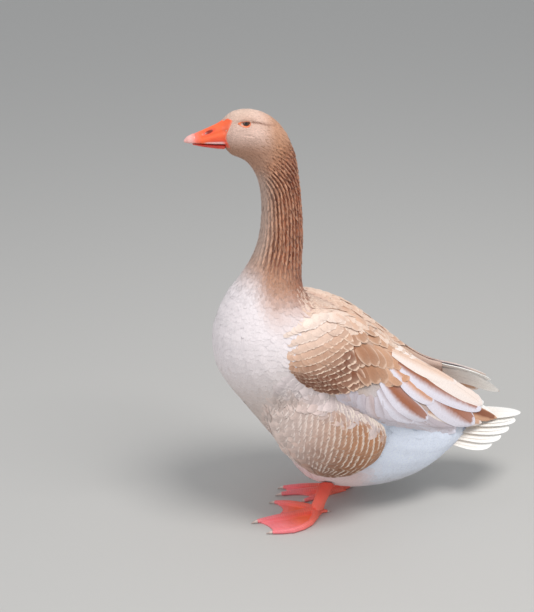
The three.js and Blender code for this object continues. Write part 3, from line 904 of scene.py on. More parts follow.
# ---------------------------------------------------------------- wings
# Lines on the side of the wing, as [x, z], along which the covert rows' tips lie.
COVERTS_TOP = [[-78, 336], [-48, 345], [-10, 352], [30, 348], [66, 330], [102, 302]]
COVERTS_MIDDLE = [[-75, 299], [-57, 295], [-35, 298], [-13, 306], [14, 314], [46, 312], [88, 296], [124, 276]]
COVERTS_LOW = [[-70, 275], [-48, 262], [-19, 257], [13, 257], [45, 261], [71, 257], [106, 247], [134, 247]]
WING_OUTSIDE = 160.0
COVERT_ROWS = 12
LEAVES_FROM = 0.42
SHINGLE = 0.35


class WingSide:
    """The outer surface of a folded wing or a flank, found by looking at it from the side."""

    def __init__(self, side, *nodes):
        self.sign = SIDES[side]
        bm = cad_solid(*nodes)
        self.tree = BVHTree.FromBMesh(bm)
        bm.free()
        self.reach = np.arange(-80, 320, 8.0)
        self.top = np.array([self.top_at(x) for x in self.reach])

    def top_at(self, x):
        """The height of the upper outline at x, as seen from the side."""
        for z in np.arange(380, 130, -1.5):
            start = Vector(metres((x, self.sign * WING_OUTSIDE, z)))
            if self.tree.ray_cast(start, Vector((0, -self.sign, 0)))[0] is not None:
                return z
        return 130.0

    def at(self, xz, depth):
        """Points that lie "depth" mm inside the surface at each [x, z], and its normals. Past the
        surface's outline they keep the side and slope of its nearest point among them."""
        found, facing, missed = [], [], []
        inward = Vector((0, -self.sign, 0))
        for x, z in xz:
            start = Vector(metres((x, self.sign * WING_OUTSIDE, z)))
            place, normal, _, _ = self.tree.ray_cast(start, inward)
            missed.append(place is None)
            if place is None:
                place, normal, _, _ = self.tree.find_nearest(Vector(metres((x, self.sign * 40, z))))
            found.append(drawing(place))
            facing.append(np.array(normal))
        found, facing, missed = np.array(found), np.array(facing), np.array(missed)
        hits = np.where(~missed)[0]
        if len(hits):
            for i in np.where(missed)[0]:
                j = hits[np.argmin(np.linalg.norm(np.asarray(xz)[hits] - np.asarray(xz)[i], axis=1))]
                found[i] = (xz[i][0], found[j, 1], xz[i][1])
                facing[i] = facing[j]
        return found - facing * np.asarray(depth)[:, None], facing


# The first and the last row of flank feathers, as [x, z] along their tips from top to bottom.
FLANK_FIRST = [[-76, 280], [-94, 248], [-100, 205], [-88, 164], [-66, 138]]
FLANK_LAST = [[56, 200], [80, 174], [88, 142], [76, 108], [46, 83], [8, 76]]
FLANK_ROWS = 22


def flank_coat(side, draw):
    """Rows of feathers across the flank and thigh, whose pale tips line up as bars."""
    wing = WingSide(side, f"flank_{side}", "trunk")
    coat = Coat(f"coat_flank_{side}", COVERT, "plumage_buff", FLANK_FINISH)
    tilt = SHINGLE * SIDES[side]
    for r in range(FLANK_ROWS):
        share = (r / (FLANK_ROWS - 1)) ** 1.15
        steps = np.linspace(0, 1, 40)
        line = mix(smooth_run(FLANK_FIRST, steps), smooth_run(FLANK_LAST, steps), share)
        reach = np.linalg.norm(np.diff(line, axis=0), axis=1).sum()
        count = int(reach / mix(6.5, 8.5, share))
        across_row = (np.arange(count) + 0.5 * (r % 2) + 0.25) / count
        tips = smooth_run(line, np.clip(across_row + draw.normal(0, 0.005, count), 0, 1))
        slope = np.gradient(line, axis=0)
        run, drop = (np.interp(across_row, steps, slope[:, k]) for k in (0, 1))
        square = np.clip(np.degrees(np.arctan2(-run, -drop)), -32, 66)
        fall = np.radians(square * 0.9 + mix(22, 6, share) + draw.normal(0, 2, count))
        heading = np.stack([np.cos(fall), np.zeros(count), -np.sin(fall)], 1)
        length = mix(25, 36, share) * draw.uniform(0.97, 1.04, count)
        width = mix(24, 34, share) * draw.uniform(0.95, 1.08, count)
        roots, up = wing.at(tips - heading[:, [0, 2]] * length[:, None], np.full(count, 2.6))
        lie = unit(heading - dot(heading, up) * up)
        lift = np.full(count, mix(1.6, 2.4, share)) * draw.uniform(0.94, 1.08, count)
        points = laid(skin_surface, COVERT, roots, lie, length, width, lift, lift * 0 + 0.3, draw, tilt=tilt)
        rear = ramp(share, 0.1, 0.8)
        low = ramp(across_row, 0.25, 0.95)[:, None]
        tan = mix(FLANK_FRONT, mix(FLANK_TAN, FLANK_DARK, low), mix(rear, 1.0, 0.5 * low * ramp(share, 0.0, 0.4)))
        tan = mix(body_colours(roots + lie * (length * 0.8)[:, None]), tan, ramp(share, -0.1, 0.3))
        tan = mix(tan, FLANK_PALE, (0.8 * ramp(across_row, 0.3, 0.06))[:, None])
        ground = tan * draw.normal(1, 0.04, (count, 1))
        edge = mix(mix(ground, 1.0, 0.25), FLANK_EDGE, 0.2 + 0.6 * rear)
        coat.add(points, ground, edge, roots)
    return coat.finish()


def covert_rows(side, wing, draw):
    """Rows of wing coverts, small and pale above, large and brown toward the lower edge."""
    coat = Coat(f"coat_wing_{side}", COVERT, "plumage_buff", WING_FINISH)
    leaves = Coat(f"coat_leaves_{side}", COVERT, "plumage_buff", LEAF_FINISH)
    tilt = SHINGLE * SIDES[side]
    for r in range(COVERT_ROWS):
        share = r / (COVERT_ROWS - 1)
        steps = np.linspace(0, 1, 40)
        if share < 0.45:
            first, second, part = COVERTS_TOP, COVERTS_MIDDLE, share / 0.45
        else:
            first, second, part = COVERTS_MIDDLE, COVERTS_LOW, (share - 0.45) / 0.55
        line = mix(smooth_run(first, steps), smooth_run(second, steps), part)
        reach = np.linalg.norm(np.diff(line, axis=0), axis=1).sum()
        rear = [0.03 * (r % 2)]
        while rear[-1] < 1:
            rear.append(rear[-1] + mix(7.0, 16.0, ramp(rear[-1], 0.3, 0.6)) / reach)
        rear = np.array([x for x in rear if x < (1.0 if r % 3 == 2 else LEAVES_FROM + 0.05 * (r % 3))])
        count = len(rear)
        tips = smooth_run(line, np.clip(rear + draw.normal(0, 0.003, count), 0, 1))
        back = ramp(rear, 0.25, 0.65)
        fall = np.radians(mix(68, 52, ramp(rear, 0.45, 0.95)) + draw.normal(0, 2.5, count))
        heading = np.stack([np.cos(fall), np.zeros(count), -np.sin(fall)], 1)
        length = mix(24, 31, share) * mix(1.0, 1.8, back) * mix(0.6, 1.0, ramp(rear, 0, 0.15))
        length = length * draw.uniform(0.96, 1.05, count)
        width = mix(22, 24, share) * mix(1.0, 1.2, back) * draw.uniform(0.95, 1.06, count)
        roots_xz = tips - heading[:, [0, 2]] * (length * 0.95)[:, None]
        roots, up = wing.at(roots_xz, np.full(count, 2.6))
        lie = unit(heading - dot(heading, up) * up)
        lift = 2.3 * mix(0.4, 1.0, ramp(rear, 0, 0.12)) * draw.uniform(0.96, 1.05, count)
        points = laid(skin_surface, COVERT, roots, lie, length, width, lift, lift * 0 + 0.4, draw, tilt=tilt)
        down = ramp(share, -0.1, 0.4)
        tan = mix(SHOULDER, COVERT_TAN, down)
        patchy = 0.3 * wobble(np.stack([tips[:, 0], tips[:, 0] * 0, tips[:, 1]], 1), 18, 3)
        brown = ramp(share, 0.2, 0.75) * (1 - 0.8 * ramp(tips[:, 0], 66, 96)) + patchy * ramp(share, 0.15, 0.5)
        ground = mix(tan, COVERT_BROWN, np.clip(brown, 0, 1)[:, None])
        ground = mix(ground, SCAPULAR, (ramp(tips[:, 0], 98, 118) * ramp(share, 0.1, 0.4))[:, None])
        ground = ground * draw.normal(1, 0.04, (count, 1))
        edge = mix(mix(tan, 1.0, 0.3), COVERT_EDGE, down)
        edge = mix(edge, tan, 0.4 * ramp(share, 0.55, 1.0))
        edge = mix(edge, ground, (0.5 * ramp(tips[:, 0], 80, 110))[:, None])
        leaf = (0.5 * ramp(rear, LEAVES_FROM, LEAVES_FROM + 0.2))[:, None]
        ground = mix(ground, LEAF_TAN, leaf)
        edge = mix(edge, ground, 0.7 * leaf)
        for piece, part in ((coat, rear < LEAVES_FROM), (leaves, rear >= LEAVES_FROM)):
            if part.any():
                piece.add(points[part], ground[part], edge[part], roots[part])
    coat.finish()
    leaves.finish()


def build_wings():
    for side in SIDES:
        flank_coat(side, np.random.default_rng(21))
        wing = WingSide(side, f"wing_{side}")
        wing_quills(side, wing, np.random.default_rng(32))
        covert_rows(side, wing, np.random.default_rng(31))
        mantle_coat(side, wing, np.random.default_rng(33))


# ---------------------------------------------------------------- stiff feathers of wing and tail
WING_LOWER_EDGE = [[-20, 242], [7, 233], [51, 192], [105, 175], [160, 157], [205, 141], [240, 129]]
SECONDARIES = 12
RED_BROWN = colour(172, 108, 78)
# A dark brown that holds painted shade, for the feather lying under the others' tips.
SHADED_DARK_BROWN = colour(140, 84, 58)
LAVENDER = colour(206, 194, 200)
TAN = colour(214, 166, 134)
SCAPULAR = colour(216, 158, 124)
CREAM_PINK = colour(248, 226, 212)
ROSE_TAN = colour(240, 206, 184)
PINK_WHITE = colour(250, 236, 228)
BLUE_WHITE = colour(236, 232, 242)
# Each long feather of the wing: root and tip as [x, z], how far its middle bows below the line
# between them, its width, how deep it lies in the wing's outer surface, its ground and margin.
LARGE_FEATHERS = [
    # The deepest feather: brown, darkened with painted shade under the tips of the others.
    ([190, 198], [303, 133], 3, 22, 3.4, SHADED_DARK_BROWN, TAN),
    ([160, 186], [270, 134], 3, 24, 3.0, TAN, PINK_WHITE),
    ([104, 212], [216, 131], 8, 26, 2.5, LAVENDER, BLUE_WHITE),
    ([66, 250], [130, 177], 5, 28, 2.4, LAVENDER, BLUE_WHITE),
    ([142, 246], [254, 138], 5, 48, 2.1, RED_BROWN, BLUE_WHITE),
    ([70, 268], [158, 174], 6, 32, 1.9, RED_BROWN, BLUE_WHITE),
    ([94, 276], [172, 198], 2, 30, 1.6, SCAPULAR, BLUE_WHITE),
    ([108, 274], [270, 157], 4, 34, 1.3, RED_BROWN, BLUE_WHITE),
    ([112, 298], [274, 163], 0, 34, 0.9, mix(CREAM_PINK, PINK_WHITE, 0.4), PINK_WHITE),
    ([100, 292], [226, 208], 0, 26, 0.6, ROSE_TAN, PINK_WHITE),
]
# The feathers that close the free tip of each wing on its inner side.
INNER_FEATHERS = [
    ([150, 262], [282, 164], -4, 44, 5.0, WHITE, WHITE),
    ([176, 212], [302, 136], 2, 30, 6.2, WHITE, WHITE),
]
RIGHT_WING_TIP = {"by": (20, 27), "from": 150, "to": 268}
VANE_TILT = 0.6


def stiff_feather(wing, root, tip, bow, width, depth, thick=1.0, sink=0.9):
    """One long feather lying in the wing's outer surface, with its shaft along a bowed line and
    its lower margin raised over the next feather."""
    u, v, w, h = (QUILL[k] for k in "uvwh")
    root, tip = np.array(root, float), np.array(tip, float)
    ahead = (tip - root) / np.linalg.norm(tip - root)
    below = np.array([-ahead[1], ahead[0]])
    below = below if below[1] < 0 else -below
    shaft = root + (tip - root) * u[:, None] + below * (bow * 4 * u * (1 - u))[:, None]
    onward = unit((tip - root) + below * (bow * 4 * (1 - 2 * u))[:, None])
    over = np.stack([-onward[:, 1], onward[:, 0]], 1)
    spread = shaft + over * (w * width / 2)[:, None]
    if wing.sign == RIGHT:
        share = ramp(spread[:, 0], RIGHT_WING_TIP["from"], RIGHT_WING_TIP["to"])
        spread = spread + np.outer(share, RIGHT_WING_TIP["by"])
    spread[:, 1] = np.minimum(spread[:, 1], np.interp(spread[:, 0], wing.reach, wing.top) - 1)
    found, up = wing.at(spread, depth + sink * (1 - u))
    ridge = np.exp(-((v / 0.12) ** 2)) * 0.3 * (1 - 0.6 * u)
    rise = h * thick * (1 - 0.5 * u) + ridge * (h > 0) - VANE_TILT * v * np.minimum(1, 3 * (1 - u))
    return found + up * rise[:, None]


def wing_quills(side, wing, draw):
    coat = Coat(f"coat_quills_{side}", QUILL, "plumage_buff", STIFF)

    def add(points, ground, edge):
        tone = draw.normal(1, 0.03)
        coat.add(points[None], ground[None] * tone, edge[None], points.mean(0)[None])

    for k in range(SECONDARIES):
        share = k / (SECONDARIES - 1)
        tip = smooth_run(WING_LOWER_EDGE, 0.14 + 0.78 * share)[0]
        fall = math.radians(mix(74, 38, share))
        reach = mix(58, 96, share)
        root = tip - reach * np.array([math.cos(fall), -math.sin(fall)])
        points = stiff_feather(wing, root, tip, mix(6, 10, share), 27, 2.6, 0.5, sink=0.3)
        tone = mix(LAVENDER, TAN, 0.25 if k % 3 == 1 else 0.0)
        add(points, tone, mix(tone, BLUE_WHITE, mix(0.25, 0.6, share)))
    for root, tip, bow, width, depth, ground, edge in [*INNER_FEATHERS, *LARGE_FEATHERS]:
        add(stiff_feather(wing, root, tip, bow, width, depth), ground, edge)
    return coat.finish()


def mantle_coat(side, wing, draw):
    """The soft feathers of back and shoulder, long and loose where they hang over the wing."""

    def wanted(middle, facing):
        along, angle, _ = stations(middle)
        high = np.interp(middle[:, 0], [-90, -50, 0, 40, 76, 110], [330, 340, 347, 344, 318, 292])
        reach = (middle[:, 0] < 112) & (middle[:, 0] > -86)
        near = reach & (middle[:, 2] > high) & (along > 292) & (angle > 1.1) & (middle[:, 1] * SIDES[side] > -1)
        found = np.zeros(len(middle), bool)
        check = np.where(near)[0]
        found[check] = parts.on(f"wing_{side}", middle[check]) | (angle[check] > 2.0)
        return found

    points, up = candidates(skin_mesh, under_coat, wanted, 0.14, draw)
    rear = ramp(points[:, 0], -60, 100)
    kept = scattered(points, mix(4.4, 7.0, rear), draw)
    points, up, rear = points[kept], up[kept], rear[kept]
    count = len(points)
    heading = np.stack([np.full(count, 0.86), np.zeros(count), np.full(count, -0.5)], 1)
    lie = unit(heading - dot(heading, up) * up)
    lie = tilted(lie, up, draw.normal(0, 5, count))
    length = mix(20, 42, rear) * draw.uniform(0.9, 1.12, count)
    width = mix(10, 18, rear) * draw.uniform(0.85, 1.15, count)
    lift = mix(0.9, 2.7, rear) * draw.uniform(0.95, 1.06, count)
    laid_points = laid(skin_surface, COVERT, points, lie, length, width, lift, lift * 0 + 0.35, draw, fray=0.02)
    tips = points + lie * length[:, None]
    warm = (ramp(tips[:, 0], 100, 140) * ramp(tips[:, 2], 300, 270))[:, None] * 0.8
    streak = np.clip(0.4 + 0.9 * wobble(tips * (0.4, 1, 1), 16, 6), 0, 1)[:, None]
    back = ramp(np.abs(points[:, 1]), 62, 30)[:, None]
    ground = mix(mix(SHOULDER, MANTLE, mix(streak * 0.8, 1.0, back * 0.6)), mix(TAN, RED_BROWN, 0.25), warm)
    along, _, _ = stations(tips)
    ground = mix(body_colours(tips), ground, ramp(along, 300, 370)[:, None])
    ground = ground * draw.normal(1, 0.03, (count, 1))
    coat = Coat(f"coat_mantle_{side}", COVERT, "plumage_buff", SOFT)
    coat.add(laid_points, ground, mix(ground, MANTLE_EDGE, 0.75), points)
    return coat.finish()


TAIL = {
    "vanes": 17, "root": [(195, 0, 140), (195, 14, 122)], "turn": (0, 22), "slope": (5, 13), "roll": (0, 36),
    "length": (159, 99), "width": 48, "top": 3.0, "under": 1.2,
}


def build_tail(draw):
    """The tail's stiff vanes, fanned like a low tent, white at the tip and tan at the root."""
    coat = Coat("coat_tail", QUILL, "plumage_white", TAIL_FINISH)
    u, h = QUILL["u"], QUILL["h"]
    w = QUILL["v"] * outline(u, root=0.9, widest=0.55, tip=0.1)
    for i in range(TAIL["vanes"]):
        share = 2 * i / (TAIL["vanes"] - 1) - 1
        size, side = abs(share), np.sign(share)
        between = i % 2
        length = mix(*TAIL["length"], size) - 7 * between
        height = TAIL["under"] if between else TAIL["top"]
        x = length * u
        y = w * TAIL["width"] / 2
        z = height + h * 0.7 * (1 - 0.5 * u) + 0.4 * np.exp(-((QUILL["v"] / 0.15) ** 2)) * (h > 0) - 0.5
        flat = np.stack([x, y, z], 1)
        roll = Matrix.Rotation(-side * math.radians(mix(*TAIL["roll"], size)), 3, "X")
        slope = Matrix.Rotation(math.radians(mix(*TAIL["slope"], size * size)), 3, "Y")
        turn = Matrix.Rotation(side * math.radians(mix(*TAIL["turn"], size)), 3, "Z")
        root = mix(*np.array(TAIL["root"], float), size) * (1, side if side else 1, 1)
        points = flat @ np.array(turn @ slope @ roll).T + root
        tone = draw.normal(1, 0.02)
        coat.add(points[None], TAIL_TAN[None] * tone, WHITE[None], points.mean(0)[None])
    piece = coat.finish()
    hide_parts("tail")


# ---------------------------------------------------------------- bill
BILL_ORANGE = colour(246, 104, 58)
BILL_PINK = colour(244, 128, 112)
NAIL_HORN = colour(238, 180, 172)
BILL_RED = colour(226, 62, 48)
GRIN_PINK = colour(238, 184, 180)
NOSTRIL_SHADE = colour(140, 36, 18)
NOSTRIL = {"x": -186.0, "z": 655.5, "length": 6.0, "height": 2.0, "tilt": 0.36}
BILL_BASE_CUT = -149.0
BILL_BASE_OVER = 0.7
GAPE_Z = 638.6
LAMELLA_PITCH = 2.3


def bill_base(bm):
    """Adds the front of the face, a little swollen, for the horn that reaches back over it."""
    face = bmesh.new()
    face.from_mesh(skin_mesh)
    face.verts.ensure_lookup_table()
    for v, p in zip(face.verts, under_coat, strict=True):
        v.co = metres(p)
    face.normal_update()
    for v in face.verts:
        v.co += v.normal * BILL_BASE_OVER * MM
    everything = face.verts[:] + face.edges[:] + face.faces[:]
    plane = metres((BILL_BASE_CUT, 0, 0))
    bmesh.ops.bisect_plane(face, geom=everything, plane_co=plane, plane_no=(1, 0, 0), clear_outer=True)
    everything = face.verts[:] + face.edges[:] + face.faces[:]
    plane = metres((0, 0, 630))
    bmesh.ops.bisect_plane(face, geom=everything, plane_co=plane, plane_no=(0, 0, 1), clear_inner=True)
    rims = [e for e in face.edges if e.is_boundary]
    bmesh.ops.holes_fill(face, edges=rims, sides=0)
    front = bpy.data.meshes.new("face_front")
    face.to_mesh(front)
    face.free()
    bm.from_mesh(front)
    bpy.data.meshes.remove(front)


def softened(mesh, share, rounds):
    """Smooths a mesh where "share" is above 0, each round toward the middle of the neighbours."""
    ends = np.empty(len(mesh.edges) * 2, np.int32)
    mesh.edges.foreach_get("vertices", ends)
    a, b = ends.reshape(-1, 2).T
    points = places(mesh)
    reach = np.bincount(a, minlength=len(points)) + np.bincount(b, minlength=len(points))
    for _ in range(rounds):
        total = [np.bincount(a, points[b, k], len(points)) + np.bincount(b, points[a, k], len(points)) for k in range(3)]
        middle = np.stack(total, 1) / reach[:, None]
        points = mix(points, middle, 0.6 * share[:, None])
    move_to(mesh, points)


def shaped_bill(node, plug_centre, plug_radii):
    bm = cad_solid(node)
    ball(bm, plug_centre, plug_radii)
    if node == "bill_upper":
        bill_base(bm)
    mesh = remeshed(bm, 0.8, 9)
    mesh.name = f"{node}_horn"
    if node == "bill_upper":
        x, _, z = places(mesh).T
        softened(mesh, ramp(x, -180, -170) * ramp(x, -154, -159) * ramp(z, 641, 647), 110)
    return mesh, places(mesh), normals(mesh)


def bill_piece(mesh, node, points, colours):
    move_to(mesh, points)
    paint(mesh, "ground", colours)
    mesh.materials.append(BILL_HORN)
    piece = linked(mesh.name, mesh)
    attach(piece, "root")
    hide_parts(node)


def build_bill():
    mesh, points, out = shaped_bill("bill_upper", (-150, 0, 654), (10, 13.5, 15))
    x, y, z = points.T
    dx, dz = x - NOSTRIL["x"], z - NOSTRIL["z"] - NOSTRIL["tilt"] * (x - NOSTRIL["x"])
    hole = np.hypot(dx / NOSTRIL["length"], dz / NOSTRIL["height"])
    beside = ramp(np.abs(y), 3, 6)
    move = beside * (-1.7 * np.exp(-(hole**2) * 1.1) + 0.25 * bell(hole, 1.9, 0.5))
    hidden = ramp(bill_edge(points), -0.4, 1.6)
    move -= 3.0 * hidden
    points = points * np.stack([x * 0 + 1, 1 - 0.1 * hidden, x * 0 + 1], 1)
    nail = ramp(x, -206.5, -209.5) * ramp(np.abs(y), 9.5, 7.5) * ramp(z, 640, 642)
    nail_rim = bell(x, -206.8, 1.1) * ramp(np.abs(y), 10, 8)
    move += 0.55 * nail - 0.45 * nail_rim
    sulcus = bell(z, 650 + 0.28 * (x + 186), 3.2) * ramp(x, -203, -194) * ramp(x, -156, -164)
    move -= 0.7 * sulcus * beside
    culmen = bell(y, 0, 3.5) * ramp(x, -205, -196) * ramp(out[:, 2], 0.2, 0.8)
    move += 0.5 * culmen
    tomium = ramp(z, GAPE_Z + 4.2, GAPE_Z + 2.4) * ramp(x, -206, -200) * ramp(np.abs(y), 5, 8)
    move += tomium * (0.45 * np.cos(2 * math.pi * x / LAMELLA_PITCH) - 0.35)
    move += 0.12 * wobble(points, 3.0, 2)
    tip = ramp(x, -195, -211)[:, None]
    base = mix(BILL_ORANGE, BILL_PINK, tip)
    base = mix(base, BILL_RED, (0.6 * ramp(z, 652, 641) * ramp(x, -196, -176))[:, None])
    base = mix(base, LID_PALE, (0.3 * bell(bill_edge(points), -0.5, 0.9))[:, None])
    base = mix(base, NAIL_HORN, ramp(x, -205, -214)[:, None])
    grin = ramp(z, GAPE_Z + 3.0, GAPE_Z + 2.0) * ramp(x, -196, -188) * ramp(x, -160, -168)
    base = mix(base, GRIN_PINK, (grin * ramp(np.abs(y), 5, 8))[:, None])
    base = mix(base, BILL_RED, (0.5 * beside * ramp(hole, 2.2, 1.4))[:, None])
    # Painted shade inside the nostril.
    base = mix(base, NOSTRIL_SHADE, (beside * ramp(hole, 1.3, 0.8))[:, None])
    bill_piece(mesh, "bill_upper", points + out * move[:, None], base)

    mesh, points, out = shaped_bill("bill_lower", (-148, 0, 633), (9, 11, 7))
    x, y, z = points.T
    edge = ramp(z, 631.5, 633.5) * ramp(np.abs(y), 5, 8)
    move = edge * 0.35 * np.cos(2 * math.pi * x / LAMELLA_PITCH) + 0.1 * wobble(points, 3.0, 5)
    move -= 0.9 * bell(y, 0, 2.4) * ramp(x, -200, -188) * ramp(out[:, 2], -0.3, -0.8)
    base = mix(BILL_RED, BILL_ORANGE, (0.5 * ramp(z, 634, 628))[:, None])
    base = mix(base, BILL_PINK, ramp(x, -194, -208)[:, None] * 0.7)
    bill_piece(mesh, "bill_lower", points + out * move[:, None], base)


# ---------------------------------------------------------------- eyes and lids
PUPIL, IRIS, EYE_RIM = colour(14, 9, 8), colour(92, 52, 30), colour(36, 20, 14)
LID_ORANGE, LID_PALE = colour(240, 128, 84), colour(236, 190, 170)
LID_SHADE, LID_BROWN = colour(80, 36, 24), colour(150, 104, 84)
OPENING = {"long": 5.7, "upper": 3.4, "lower": 3.9}
LID_REACH = {"front": 12.6, "back": 6.6, "upper": 4.8, "lower": 6.0}
LID_STEPS = 48
LID_RINGS = 6
LID_THICK = 0.5


def build_eyes():
    for side, sign in SIDES.items():
        centre = (EYE["x"], EYE["y"] * sign, EYE["z"])
        bm = bmesh.new()
        shape = Matrix.Translation(metres(centre)) @ Matrix.Rotation(math.pi / 2, 4, "X")
        bmesh.ops.create_uvsphere(bm, u_segments=64, v_segments=48, radius=EYE["radius"] * MM, matrix=shape)
        mesh = bpy.data.meshes.new(f"eyeball_{side}")
        bm.to_mesh(mesh)
        bm.free()
        mesh.shade_smooth()
        points = places(mesh)
        off_axis = np.hypot(points[:, 0] - centre[0] + 0.5, points[:, 2] - centre[2])
        front = (points[:, 1] * sign > EYE["y"])[:, None]
        tone = mix(PUPIL, IRIS, ramp(off_axis, 2.3, 2.7)[:, None])
        tone = mix(tone, EYE_RIM, ramp(off_axis, 3.9, 4.7)[:, None])
        paint(mesh, "ground", np.where(front, tone, EYE_RIM))
        mesh.materials.append(EYE_GLOSS)
        piece = linked(f"eyeball_{side}", mesh)
        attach(piece, "root")
        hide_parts(f"eye_{side}")


def lid_rings():
    """The lids' outlines from the opening to the feathers, as [forward and back, up]."""
    turns = np.arange(LID_STEPS) * 2 * math.pi / LID_STEPS
    ahead, up = np.cos(turns), np.sin(turns)
    high = np.where(up > 0, OPENING["upper"], OPENING["lower"])
    inner = np.stack([OPENING["long"] * ahead, high * up], 1)
    reach = np.where(ahead < 0, LID_REACH["front"], LID_REACH["back"])
    high = np.where(up > 0, LID_REACH["upper"], LID_REACH["lower"])
    point = np.where(ahead < 0, np.abs(up) ** 1.6, np.abs(up))
    outer = np.stack([reach * ahead, high * np.sign(up) * point], 1)
    return inner, outer


def build_lids():
    """A ring of bare skin round each eye, drawn out to a point in front, with painted shade along the upper lid's
    inner edge.
    """
    inner, outer = lid_rings()
    for side, sign in SIDES.items():
        bm = bmesh.new()
        ring = bmesh.ops.create_circle(bm, cap_ends=False, segments=LID_STEPS, radius=MM)["verts"]
        for k in range(LID_RINGS + 1):
            share = max(0, k - 1) / (LID_RINGS - 1)
            flat = mix(inner * (0.92 if k == 0 else 1), outer, share)
            away = np.minimum((flat**2).sum(1), EYE["radius"] ** 2)
            on_ball = EYE["y"] + np.sqrt(EYE["radius"] ** 2 - away)
            on_skin = []
            for dx, dz in flat:
                start = Vector((EYE["x"] + dx, sign * 60, EYE["z"] + dz))
                on_skin.append(abs(skin_surface.ray_cast(start, Vector((0, -sign, 0)))[0].y))
            rest = mix(on_ball + 0.5, np.array(on_skin) + 0.5, ramp(share, 0, 0.6))
            height = rest + 0.4 * math.sin(math.pi * min(1, share * 1.6)) - 1.0 * (k == 0) - 0.9 * (share == 1)
            if k:
                edges = [e for e in bm.edges if all(v in ring for v in e.verts)]
                grown = bmesh.ops.extrude_edge_only(bm, edges=edges)["geom"]
                fresh = [g for g in grown if isinstance(g, bmesh.types.BMVert)]
                ring = [min(fresh, key=lambda f: (f.co - v.co).length) for v in ring]
            for v, (dx, dz), y in zip(ring, flat, height, strict=True):
                v.co = metres((EYE["x"] + dx, sign * y, EYE["z"] + dz))
        bmesh.ops.recalc_face_normals(bm, faces=bm.faces)
        mesh = bpy.data.meshes.new(f"lids_{side}")
        bm.to_mesh(mesh)
        bm.free()
        mesh.shade_smooth()
        share = np.repeat(np.maximum(0, np.arange(LID_RINGS + 1) - 1) / (LID_RINGS - 1), LID_STEPS)
        up = np.tile(np.sin(np.arange(LID_STEPS) * 2 * math.pi / LID_STEPS), LID_RINGS + 1)
        ahead = np.tile(np.cos(np.arange(LID_STEPS) * 2 * math.pi / LID_STEPS), LID_RINGS + 1)
        # The inner edge of the upper lid is painted dark: painted shade where the lid overhangs the eye.
        rim = mix(LID_ORANGE, LID_SHADE, (ramp(share, 0.25, 0.0) * ramp(up, -0.5, 0.4))[:, None])
        tone = mix(rim, LID_PALE, (ramp(share, 0.45, 0.9) * ramp(up, -0.1, -0.6))[:, None])
        tone = mix(tone, LID_BROWN, (ramp(up, 0.1, 0.6) * ramp(ahead, -0.85, -0.6) * ramp(share, 0.1, 0.5))[:, None])
        paint(mesh, "ground", tone)
        mesh.materials.append(LID_SKIN)
        piece = linked(f"lids_{side}", mesh)
        wall = piece.modifiers.new("wall", "SOLIDIFY")
        wall.thickness = LID_THICK * MM
        wall.offset = 0
        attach(piece, "root")


# ---------------------------------------------------------------- legs
LEG_SHADE_RED, LEG_CORAL, LEG_PINK = colour(206, 60, 40), colour(255, 120, 100), colour(255, 136, 142)
LEG_ORANGE = colour(255, 122, 74)
LEGS = {
    "left": {"hock": (6, -50, 84), "joint": (-18, -46, 12)},
    "right": {"hock": (58, 32, 84), "joint": (41, 20, 12)},
}
LEG_TOP_RADIUS = 13.5


def build_legs():
    """Shank and webbed foot in one skin, with scutes across the toes and creases in the web, painted shade on the
    upper shank and in the grooves between the scutes.
    """
    for side, leg in LEGS.items():
        bm = cad_solid(f"shank_{side}", f"foot_{side}")
        hock, joint = (np.array(leg[k], float) for k in ("hock", "joint"))
        axis = Vector(hock - joint).normalized()
        middle = mix(joint, hock, 1.35)
        stand = Vector((0, 0, 1)).rotation_difference(axis).to_matrix().to_4x4()
        shape = Matrix.Translation(metres(middle)) @ stand
        radius = LEG_TOP_RADIUS * MM
        bmesh.ops.create_cone(
            bm, cap_ends=True, segments=24, radius1=radius * 0.96, radius2=radius * 1.15, depth=70 * MM, matrix=shape
        )
        mesh = remeshed(bm, 1.05, 5)
        mesh.name = f"leg_{side}"
        points, out = places(mesh), normals(mesh)
        x, y, z = points.T
        from_joint = np.hypot(x - joint[0], y - joint[1])
        web = ramp(z, 5.2, 3.9) * ramp(out[:, 2], 0.5, 0.9) * ramp(z, 1.5, 2.4)
        stray = wobble(points, 6.0, 7)
        move = web * (-1.0 + 0.35 * wobble(points * (1, 1, 0), 9.0, 3) + 0.2 * np.cos(from_joint / 1.6 + stray * 2))
        on_foot = ramp(z, 17, 12)
        toes = ramp(z, 4.6, 6.0) * ramp(out[:, 2], -0.2, 0.3) * on_foot
        move += toes * (0.35 * np.abs(np.cos(from_joint / 1.15 + stray)) - 0.2)
        up_shank = ramp(z, 12, 18)
        front = ramp(-out[:, 0], 0.1, 0.7)
        move += up_shank * front * (0.4 * np.abs(np.cos(z / 1.25)) - 0.25)
        net = np.array([noise.voronoi(Vector(p) / 3.4)[0][0] for p in points])
        move += (1 - web) * (1 - toes) * ramp(z, 1.2, 3) * (0.5 * np.clip(net, 0, 0.6) - 0.12)
        points = points + out * move[:, None]
        points[:, 2] = np.maximum(points[:, 2], 0.0)
        tone = mix(LEG_CORAL, LEG_PINK, (ramp(from_joint, 30, 90) * on_foot)[:, None])
        tone = mix(tone, LEG_ORANGE, (0.7 * web * ramp(from_joint, 62, 25))[:, None])
        # The shank darkens upward to dark red: painted shade under the body.
        tone = mix(tone, LEG_SHADE_RED, (0.9 * ramp(z, 14, 60))[:, None])
        # Painted shade in the grooves between the toes' scutes.
        tone = tone * (1 - 0.16 * toes * np.abs(np.sin(from_joint / 1.15 + stray)))[:, None]
        move_to(mesh, points)
        paint(mesh, "ground", tone)
        mesh.materials.append(LEG_SKIN)
        piece = linked(mesh.name, mesh)
        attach(piece, "root")
        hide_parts(f"shank_{side}", f"foot_{side}")


